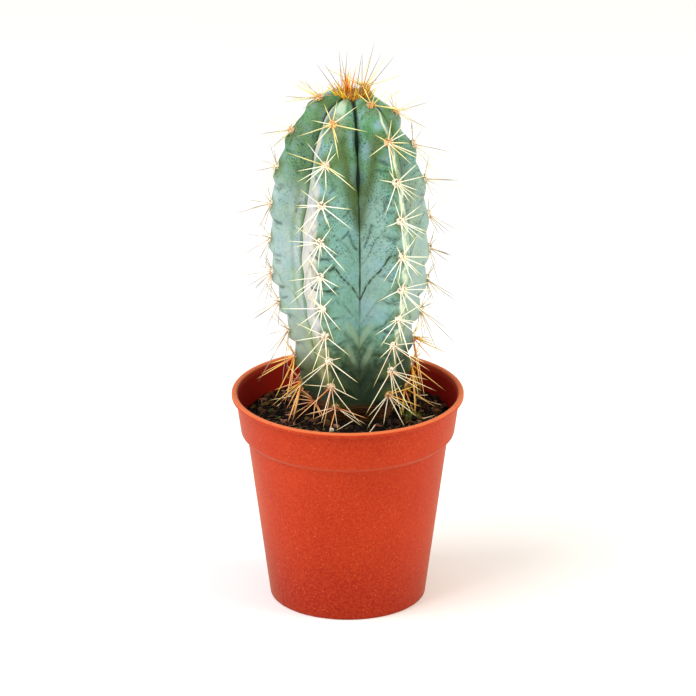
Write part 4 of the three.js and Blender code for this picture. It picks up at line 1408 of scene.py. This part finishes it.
def spine_shade(rib, place_row):
    """A spine's age from 0, old, to 1, young, or the number of another kind of colour."""
    grey_share = 0.4 + smoothstep(place_row, *GREY_ROWS[::-1])
    if rib in GREY_RIBS and place_row > GREY_ROWS[0] and draw.random() < grey_share:
        return GREY_SHADE
    up_to_row, golden_share, other_shade = LOWEST_SPINES.get(rib, (0, 0, 0))
    if place_row < up_to_row:
        return GOLDEN_SHADE if draw.random() < golden_share else other_shade
    return np.clip(place_row / AREOLE_ROWS + draw.normal(0, 0.07), 0, 1)


# %% [markdown]
# Spines are creamy, with an orange-brown root and a yellow point. Young spines near the crown are golden,
# low ones are a weathered cream, and the oldest ones near the mix have turned orange-brown, or golden where
# the mix keeps them damp. On the grey ribs most spines are painted grey, a painted shade for cream spines
# seen in shadow at the sides of the stem. The shade stored on each needle is its age, or a higher number
# for a grey or a golden one, so all of them share one recipe.

# %% Finish the spines
def spine_finish():
    horn = Finish("spine_horn", Roughness=0.45)
    along, age = horn.stored("along"), horn.stored("shade")
    grown = horn.ramp(along, (0, srgb(96, 60, 24)), (0.05, srgb(200, 164, 116)),
                      (0.1, srgb(248, 240, 216)), (0.4, srgb(254, 253, 242)),
                      (0.7, srgb(252, 250, 212)), (1.0, srgb(222, 210, 108)))
    young = horn.ramp(along, (0, srgb(160, 84, 20)), (0.12, srgb(232, 196, 96)), (0.6, srgb(248, 238, 148)),
                      (1.0, srgb(196, 176, 80)))
    old = horn.ramp(along, (0, srgb(160, 58, 22)), (0.15, srgb(250, 132, 74)), (0.5, srgb(255, 190, 126)),
                    (1.0, srgb(236, 160, 84)))
    shaded_grey = horn.ramp(along, (0, srgb(170, 80, 40)), (0.08, srgb(208, 158, 116)),
                     (0.3, srgb(228, 208, 174)), (0.6, srgb(172, 156, 136)), (1.0, srgb(138, 126, 116)))
    weathered = horn.ramp(along, (0, srgb(150, 84, 42)), (0.07, srgb(234, 190, 146)),
                          (0.2, srgb(252, 238, 214)), (0.7, srgb(250, 236, 190)),
                          (1.0, srgb(228, 206, 124)))
    golden = horn.ramp(along, (0, srgb(190, 96, 18)), (0.15, srgb(252, 184, 56)),
                       (0.6, srgb(255, 222, 108)), (1.0, srgb(222, 172, 72)))
    colour = horn.paint(horn.between(age, 0.8, 1.0), grown, young)
    colour = horn.paint(horn.between(age, 0.4, 0.24), colour, weathered)
    colour = horn.paint(horn.between(age, 0.14, 0.04), colour, old)
    # Painted shade: most spines on the side ribs are painted grey, as cream spines look in shadow.
    colour = horn.paint(horn.between(age, GREY_SHADE - 0.6, GREY_SHADE - 0.4), colour, shaded_grey)
    colour = horn.paint(horn.between(age, GOLDEN_SHADE - 0.6, GOLDEN_SHADE - 0.4), colour, golden)
    return horn.done(colour)


spine_horn = spine_finish()
all_spines, all_shades = [], []
for areole in areoles:
    grown_here, shades_here = areole_spines(*areole)
    all_spines += grown_here
    all_shades += shades_here
needle_piece("rib_spines", spine_horn, "cactus_skin", all_spines, all_shades)
print(f"{len(all_spines)} spines on the ribs")

# %% [markdown]
# ## Areole wool
# Each areole is a pad of cream-coloured felt that the spines come out of, with the brown of their roots
# showing through. A low mound gives the body, and short threads all over it give the fuzzy edge. Near the
# crown and near the mix the felt is tinged orange.

# %% Felt the areoles
PAD_RADIUS = 1.75
PAD_HEIGHT = 1.0
PAD_THREADS = 42
PAD_THREAD_LENGTHS = (0.6, 1.3)
PAD_THREAD_RADIUS = 0.07
MOUND_SIDES = 14
MOUND_RINGS = 5
MOUND_DEPTH = 0.5


def mound(place, out, across, up, radius, height):
    """Points of a low round mound, from its edge to its top."""
    points = []
    for n in range(MOUND_RINGS):
        lift = math.sin(n / MOUND_RINGS * math.pi / 2)
        wide = math.cos(n / MOUND_RINGS * math.pi / 2)
        for angle in np.arange(MOUND_SIDES) * 2 * np.pi / MOUND_SIDES:
            around = math.cos(angle) * up + math.sin(angle) * across
            points.append(place + radius * wide * draw.uniform(0.85, 1.12) * around
                          + (height * lift * draw.uniform(0.9, 1.15) - MOUND_DEPTH * (n == 0)) * out)
    points.append(place + height * out)
    return points


def mound_faces(start):
    """Faces of a mound whose points begin at start. Its rings run the other way round than a stem's."""
    faces = (ring_quads(MOUND_RINGS, MOUND_SIDES)[:, ::-1] + start).tolist()
    top = start + MOUND_RINGS * MOUND_SIDES
    return faces + cap_faces(top, top - MOUND_SIDES, MOUND_SIDES, turned=True)


def wool_finish(name, low, high):
    """Felt in two shades, with orange on the youngest and the oldest pads, and dark roots in it."""
    wool = Finish(name, Roughness=0.9, Sheen_Weight=0.25)
    colour = wool.ramp(wool.noise(1.1, detail=3), (0.36, low), (0.52, high))
    age = wool.stored("shade")
    for first, last in ((0.76, 0.95), (0.26, 0.06)):
        colour = wool.paint(wool.between(age, first, last, 0, 0.85), colour, srgb(206, 146, 44))
    dark_roots = wool.between(wool.noise(1.4, detail=1), 0.53, 0.6, 0, 0.9)
    return wool.done(wool.paint(dark_roots, colour, srgb(92, 52, 18)))


pad_points, pad_faces, pad_shades, pad_threads, thread_shades = [], [], [], [], []
for rib, place_row in areoles:
    place, out, across, up = areole_frame(rib, place_row)
    pad_faces += mound_faces(len(pad_points))
    pad_points += mound(place, out, across, up, PAD_RADIUS, PAD_HEIGHT)
    pad_shades += [place_row / AREOLE_ROWS] * (len(pad_points) - len(pad_shades))
    for _ in range(PAD_THREADS):
        spread = math.sqrt(draw.random())
        angle = draw.uniform(0, 2 * np.pi)
        around = math.cos(angle) * up + math.sin(angle) * across
        aim = out + around * draw.uniform(0.2, 1.3) + draw.normal(0, 0.25, 3)
        aim /= np.linalg.norm(aim)
        root = place + PAD_RADIUS * spread * around + PAD_HEIGHT * (1 - spread) * out
        length = draw.uniform(*PAD_THREAD_LENGTHS)
        pad_threads.append((root, aim, length, PAD_THREAD_RADIUS, draw.normal(0, 0.12, 3)))
        thread_shades.append(place_row / AREOLE_ROWS)
felt = wool_finish("areole_felt", srgb(230, 202, 156), srgb(253, 249, 230))
areole_pads = piece("areole_pads", pad_points, pad_faces, felt, "cactus_skin")
store(areole_pads, "shade", pad_shades)
needle_piece("areole_wool", felt, "cactus_skin", pad_threads, thread_shades,
             stations=THREAD_STATIONS, taper=THREAD_TAPER, sides=3)

# %% [markdown]
# ## Crown
# The growing point is hidden under a cushion of orange wool, and out of it stand the newest spines: a
# dense golden tuft, and a few long thin ones that reach far above it. The tuft is several clumps, one for
# each young areole, and each clump leans its own way. A clump has a place to the right of the apex and
# behind it, a lean to the right and to the back in degrees, a length and a number of spines. A long spine
# has a place to the right, two leans and a length.

# %% Grow the crown
TUFT_RADIUS = 4.2
TUFT_HEIGHT = 1.6
CLUMPS = [(-1.2, 0.3, -1, 4, 13.5, 18), (-4.0, 0.5, -36, 0, 9.5, 11), (4.8, 0.4, 16, -2, 7.8, 13),
          (-1.4, -2.8, -14, -18, 6.0, 8), (2.0, -2.8, 12, -22, 5.5, 8), (-2.6, 3.0, -20, 24, 8.0, 8),
          (1.6, 2.0, 10, 14, 6.0, 10)]
CLUMP_SPREAD = math.radians(11)
CLUMP_WIDTH = 0.8
CLUMP_LENGTH_CHANCE = (0.45, 1.05)
CLUMP_SHADES = (0.5, 0.95)
LONG_SPINES = [(3.4, 14, 3, 23.5), (4.0, 0, 6, 18.5), (3.0, 25, 2, 20.5), (3.2, 38, -2, 22.5),
               (-3.7, -1, 3, 20.0), (-2.8, 3, 10, 19.5), (-3.6, -37, 4, 18.5), (-1.0, -12, 32, 17),
               (1.5, 10, 40, 18), (-2.0, -34, 30, 17)]
LONG_SPINE_RADIUS = SPINE_RADIUS * 0.72
LONG_SPINE_BEND = 0.015
CROWN_ROOT_DEPTH = 0.4
apex = stem_axis(np.array([crest_line[-1, 1]]))[0]


def leaning(right_deg, back_deg):
    """The direction of something that leans so many degrees to the right and to the back."""
    direction = np.array([math.tan(math.radians(right_deg)), math.tan(math.radians(back_deg)), 1.0])
    return direction / np.linalg.norm(direction)


def tuft_spines():
    """The golden spines of the youngest areoles, in clumps, each clump with a lean of its own."""
    spines, shades = [], []
    for right, back, lean_right, lean_back, length, count in CLUMPS:
        middle = leaning(lean_right, lean_back)
        for _ in range(count):
            direction = middle + math.tan(CLUMP_SPREAD) * draw.normal(0, 1, 3)
            direction /= np.linalg.norm(direction)
            root = apex + np.array([right, back, -CROWN_ROOT_DEPTH])
            root += draw.normal(0, CLUMP_WIDTH, 3) * np.array([1, 1, 0])
            wished_length = length * draw.uniform(*CLUMP_LENGTH_CHANCE)
            direction, fitted_length = fitted(root, direction, wished_length)
            bend = draw.normal(0, SPINE_BEND, 3) * fitted_length
            spines.append((root, direction, fitted_length, SPINE_RADIUS * draw.uniform(0.8, 1.2), bend))
            shades.append(draw.uniform(*CLUMP_SHADES))
    return spines, shades


def long_spines():
    """The long thin spines, which all have the lowest shade."""
    spines = []
    for right, lean_right, lean_back, length in LONG_SPINES:
        root = apex + np.array([right, 0, -CROWN_ROOT_DEPTH])
        direction, length = fitted(root, leaning(lean_right, lean_back), length)
        bend = draw.normal(0, LONG_SPINE_BEND, 3) * length
        spines.append((root, direction, length, LONG_SPINE_RADIUS, bend))
    return spines, [0.0] * len(spines)


def crown_finish():
    horn = Finish("crown_horn", Roughness=0.45)
    along, shade = horn.stored("along"), horn.stored("shade")
    golden = horn.ramp(along, (0, srgb(190, 90, 2)), (0.15, srgb(226, 160, 6)), (0.4, srgb(240, 204, 26)),
                       (0.75, srgb(240, 220, 84)), (1.0, srgb(190, 172, 70)))
    orange = horn.ramp(along, (0, srgb(170, 50, 4)), (0.5, srgb(232, 124, 8)), (1.0, srgb(238, 186, 50)))
    brown = horn.ramp(along, (0, srgb(96, 36, 6)), (0.6, srgb(140, 78, 20)), (1.0, srgb(150, 110, 50)))
    long_thin = horn.ramp(along, (0, srgb(196, 84, 14)), (0.25, srgb(186, 110, 50)),
                          (0.5, srgb(132, 104, 84)), (1.0, srgb(116, 104, 98)))
    colour = horn.paint(horn.between(shade, 0.78, 0.82), golden, orange)
    colour = horn.paint(horn.between(shade, 0.93, 0.96), colour, brown)
    return horn.done(horn.paint(horn.between(shade, 0.2, 0.5), long_thin, colour))


tuft, tuft_shades = tuft_spines()
tall, tall_shades = long_spines()
crown_shades = tuft_shades + tall_shades
needle_piece("crown_spines", crown_finish(), "cactus_skin", tuft + tall, crown_shades)
print(f"{len(tuft)} short and {len(tall)} long spines on the crown")

# %% [markdown]
# The cushion under them is a mound of the same felt as an areole's, in a deeper orange. Its threads are
# longer and stand up all over it, so that it has no hard edge against the green.

# %% Lay the wool on the crown
CROWN_THREADS = 420
CROWN_THREAD_LENGTHS = (1.2, 3.4)
CROWN_THREAD_RADIUS = 0.09
crown_felt = wool_finish("crown_felt", srgb(186, 50, 6), srgb(236, 130, 24))
to_the_right, to_the_back = np.array([1.0, 0, 0]), np.array([0, 1.0, 0])
cushion_points = mound(apex, UPWARDS, to_the_right, to_the_back, TUFT_RADIUS, TUFT_HEIGHT)
cushion = piece("crown_cushion", cushion_points, mound_faces(0), crown_felt, "cactus_skin")
store(cushion, "shade", np.ones(len(cushion_points)))
crown_threads = []
for _ in range(CROWN_THREADS):
    share = math.sqrt(draw.random())
    angle = draw.uniform(0, 2 * np.pi)
    aim = outwards(angle) * draw.uniform(0, 1.2) * share + UPWARDS + draw.normal(0, 0.3, 3)
    aim /= np.linalg.norm(aim)
    lift = TUFT_HEIGHT * math.sqrt(1 - share ** 2) - CROWN_ROOT_DEPTH
    root = apex + TUFT_RADIUS * share * outwards(angle) + lift * UPWARDS
    length = draw.uniform(*CROWN_THREAD_LENGTHS)
    crown_threads.append((root, aim, length, CROWN_THREAD_RADIUS, draw.normal(0, 0.4, 3)))
needle_piece("crown_wool", crown_felt, "cactus_skin", crown_threads, np.ones(CROWN_THREADS),
             stations=THREAD_STATIONS, taper=THREAD_TAPER, sides=3)

# %% [markdown]
# ## Potting mix
# The mix is peat, bark and perlite, dark and damp. A lumpy bed fills the pot, and loose bits lie all over
# it: over a thousand crumbs of many sizes, flat bark chips, fibres, a few white perlite grains, a little
# moss, and spines that have dropped off. Real bits on a bumpy bed look right from every side, while a
# picture of soil would stay flat.

# %% Lay the bed
BED_RINGS = 60
BED_SIDES = 300
LUMP_HEIGHT = 1.1
LUMPS_PER_MM = 0.22
BED_DROP = 0.5
BED_GAP = 0.4
BED_FLOOR_RADIUS = FOOT_RADIUS - POT_WALL - 1.4
BED_FLOOR_Z = POT_FLOOR + 0.3
UNDER_LEDGE_Z = LEDGE_WALL + 0.2
HOLE_EDGE_RADIUS = HOLE_RADIUS - 0.6
HOLE_FLOOR_Z = 60.7


def bed_z(points):
    """The height of the bed at each point, with its lumps."""
    lumps = clouds(points, LUMPS_PER_MM, octaves=4) * LUMP_HEIGHT
    return heap_z(points[..., 0], points[..., 1]) + lumps - BED_DROP


def bed_skin():
    """The bed from the pot's floor up the wall, over the top and down the stem's hole."""
    around = outwards(np.arange(BED_SIDES) * 2 * np.pi / BED_SIDES)
    body = ((BED_FLOOR_RADIUS, BED_FLOOR_Z),
            (BODY_TOP[0] - POT_WALL - BED_GAP, BODY_TOP[1] + UNDER_LEDGE_Z),
            (COLLAR_FOOT[0] - POT_WALL - BED_GAP, COLLAR_FOOT[1] + UNDER_LEDGE_Z))
    rings = [radius * around + np.array([0, 0, z]) for radius, z in body]
    for share in np.linspace(1, 0, BED_RINGS):
        middle = np.array([STEM_BASE_X, STEM_Y, 0]) * (1 - share)
        ring = middle + lerp(HOLE_EDGE_RADIUS, soil_wall_radius, share) * around
        ring[:, 2] = bed_z(ring)
        rings.append(ring)
    hole_floor = np.array([STEM_BASE_X, STEM_Y, HOLE_FLOOR_Z])
    rings.append(hole_floor + HOLE_EDGE_RADIUS * around)
    points = np.vstack([*rings, [0, 0, BED_FLOOR_Z], hole_floor])
    faces = ring_quads(len(rings), BED_SIDES).tolist()
    faces += cap_faces(len(points) - 2, 0, BED_SIDES, turned=True)
    faces += cap_faces(len(points) - 1, (len(rings) - 1) * BED_SIDES, BED_SIDES)
    return points, faces


def peat_finish():
    peat = Finish("peat", Roughness=0.9, Specular_IOR_Level=0.1)
    grain = peat.noise(0.8, detail=5)
    colour = peat.ramp(grain, (0.3, srgb(5, 3, 3)), (0.55, srgb(18, 11, 8)), (0.75, srgb(46, 29, 18)))
    peat.bump(grain, 0.5)
    return peat.done(colour)


soil_bed = piece("soil_bed", *bed_skin(), peat_finish(), "potting_mix")
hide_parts("soil")

# %% [markdown]
# Crumbs, chips and grains are all made the same way: a ball of few faces, stretched, turned and dented at
# random, many at a time. Only the stretch, the size and the colour differ.

# %% Scatter crumbs, chips and grains
CRUMBS = 1300
CRUMB_SIZES = (0.35, 2.0)
BARK_CHIPS = 210
CHIP_SIZES = (1.4, 3.8)
PERLITE_GRAINS = 9
GRAIN_SIZES = (0.4, 0.9)


def ball(subdivisions):
    """Points and faces of a small geodesic ball."""
    blank = bmesh.new()
    bmesh.ops.create_icosphere(blank, subdivisions=subdivisions, radius=1)
    points = np.array([v.co for v in blank.verts])
    faces = [[v.index for v in face.verts] for face in blank.faces]
    blank.free()
    return points, faces


def random_turns(count):
    """Random rotation matrices."""
    q = draw.normal(size=(count, 4))
    w, x, y, z = (q / np.linalg.norm(q, axis=1, keepdims=True)).T
    return np.stack([
        np.stack([1 - 2 * (y * y + z * z), 2 * (x * y - w * z), 2 * (x * z + w * y)], -1),
        np.stack([2 * (x * y + w * z), 1 - 2 * (x * x + z * z), 2 * (y * z - w * x)], -1),
        np.stack([2 * (x * z - w * y), 2 * (y * z + w * x), 1 - 2 * (x * x + y * y)], -1)], axis=1)


def scattered(count, edge=1.5):
    """Random places on the bed, between the stem and the wall."""
    share = np.sqrt(draw.random(count))
    angle = draw.uniform(0, 2 * np.pi, count)
    inner, outer = HOLE_RADIUS + edge / 2, soil_wall_radius - edge
    radius = lerp(inner, outer, share)
    middle = np.array([STEM_BASE_X, STEM_Y, 0]) * (1 - (radius - inner) / (outer - inner))[:, None]
    places = middle + radius[:, None] * outwards(angle)
    places[:, 2] = bed_z(places)
    return places


def bits(name, places, sizes, stretch, dent, finish, flat=0.0, fine=1):
    """A piece of many dented balls at the given places."""
    shape, faces = ball(fine)
    count = len(places)
    forms = shape[None] * (1 + draw.normal(0, dent, (count, len(shape), 1)))
    forms = forms * np.array(stretch) * draw.uniform(0.75, 1.25, (count, 1, 3))
    turns = random_turns(count)
    forms = np.einsum("nij,npj->npi", turns, forms)
    forms[..., 2] *= 1 - flat
    points = places[:, None] + forms * sizes[:, None, None]
    all_faces = [[corner + len(shape) * n for corner in face] for n in range(count) for face in faces]
    made = piece(name, points.reshape(-1, 3), all_faces, finish, "potting_mix", smooth=False)
    store(made, "shade", np.repeat(draw.random(count), len(shape)))


def crumb_finish(name, *colours):
    """Colours by the shade of each bit, with dark grain over them."""
    crumb = Finish(name, Roughness=0.85, Specular_IOR_Level=0.15)
    tint = crumb.ramp(crumb.stored("shade"), *colours)
    grain = crumb.noise(1.6, detail=4)
    crumb.bump(grain, 0.3)
    return crumb.done(crumb.paint(crumb.between(grain, 0.4, 0.7, 0, 0.5), tint, srgb(22, 14, 10)))


peat_crumb = crumb_finish("peat_crumb", (0, srgb(7, 4, 3)), (0.5, srgb(20, 12, 8)),
                          (0.7, srgb(48, 30, 18)), (0.8, srgb(120, 70, 36)), (0.88, srgb(88, 98, 36)),
                          (0.94, srgb(40, 22, 18)), (1.0, srgb(182, 132, 104)))
bark = crumb_finish("bark", (0, srgb(28, 17, 12)), (0.5, srgb(66, 42, 28)), (0.8, srgb(118, 76, 54)),
                    (1.0, srgb(176, 128, 110)))
perlite = crumb_finish("perlite", (0, srgb(214, 208, 196)), (1.0, srgb(240, 238, 232)))

crumb_sizes = np.clip(draw.lognormal(-0.2, 0.45, CRUMBS), *CRUMB_SIZES)
crumb_places = scattered(CRUMBS) + np.array([0, 0, 0.3])
bits("peat_crumbs", crumb_places, crumb_sizes, (1, 0.8, 0.7), 0.16, peat_crumb)
chip_sizes = draw.uniform(*CHIP_SIZES, BARK_CHIPS)
chip_places = scattered(BARK_CHIPS, edge=3.5)
bits("bark_chips", chip_places, chip_sizes, (1, 0.55, 0.22), 0.12, bark, flat=0.35)
grain_places = scattered(PERLITE_GRAINS, edge=3) + np.array([0, 0, 0.5])
grain_sizes = draw.uniform(*GRAIN_SIZES, PERLITE_GRAINS)
bits("perlite_grains", grain_places, grain_sizes, (1, 0.9, 0.85), 0.08, perlite, fine=2)

# %% [markdown]
# Threads of peat and fallen spines lie flat on the mix. Each one runs from the height of the bed at one of
# its ends to the height at the other, so it neither floats nor sinks in. Moss grows as small cushions of
# short green threads, one of them close to the wall and two near the stem.

# %% Lay fibres, fallen spines and moss
FIBRES = 260
FIBRE_LENGTHS = (3, 8)
FIBRE_LIFT = 0.6
FALLEN_SPINES = 22
FALLEN_LENGTHS = (5, 11)
FALLEN_LIFT = 1.6
MOSS_SPOTS = [(34, -16.5), (22.5, -5.5), (25.5, -4)]
MOSS_SPREAD = 1.4
MOSS_THREADS = 90
MOSS_THREAD_LENGTHS = (0.8, 1.8)
MOSS_THREAD_RADIUS = 0.14


def lying(place, angle, length, lift):
    """A root and a direction for something that lies on the bed with its middle at a place."""
    direction = outwards(angle)
    start, end = place - direction * length / 2, place + direction * length / 2
    start[2], end[2] = (float(bed_z(p[None])[0]) + lift for p in (start, end))
    return start, (end - start) / np.linalg.norm(end - start)


fibre_batch = []
for place in scattered(FIBRES, edge=5):
    length = draw.uniform(*FIBRE_LENGTHS)
    root, direction = lying(place, draw.uniform(0, 2 * np.pi), length, FIBRE_LIFT)
    fibre_batch.append((root, direction, length, draw.uniform(0.1, 0.2), draw.normal(0, 0.5, 3)))
fibre_finish = crumb_finish("peat_fibre", (0, srgb(52, 32, 20)), (0.7, srgb(110, 78, 50)),
                            (1.0, srgb(168, 136, 92)))
needle_piece("peat_fibres", fibre_finish, "potting_mix", fibre_batch, draw.random(FIBRES), sides=4)

fallen_batch = []
for place in scattered(FALLEN_SPINES, edge=7):
    length = draw.uniform(*FALLEN_LENGTHS)
    root, direction = lying(place, draw.uniform(0, 2 * np.pi), length, FALLEN_LIFT)
    fallen_batch.append((root, direction, length, THIN_SPINE_RADIUS, np.array([0, 0, 0.3])))
fallen_shades = draw.uniform(0, 0.3, FALLEN_SPINES)
needle_piece("fallen_spines", spine_horn, "potting_mix", fallen_batch, fallen_shades)

moss_batch = []
for x, y in MOSS_SPOTS:
    for _ in range(MOSS_THREADS):
        place = np.array([x, y, 0.0]) + MOSS_SPREAD * draw.normal(0, 1, 3) * np.array([1, 1, 0])
        place[2] = float(bed_z(place[None])[0]) + 0.3
        aim = UPWARDS + draw.normal(0, 0.45, 3)
        aim /= np.linalg.norm(aim)
        length = draw.uniform(*MOSS_THREAD_LENGTHS)
        moss_batch.append((place, aim, length, MOSS_THREAD_RADIUS, draw.normal(0, 0.2, 3)))
moss_finish = crumb_finish("moss", (0, srgb(70, 90, 30)), (1.0, srgb(140, 156, 60)))
needle_piece("moss", moss_finish, "potting_mix", moss_batch, draw.random(len(moss_batch)),
             stations=THREAD_STATIONS, taper=THREAD_TAPER, sides=3)
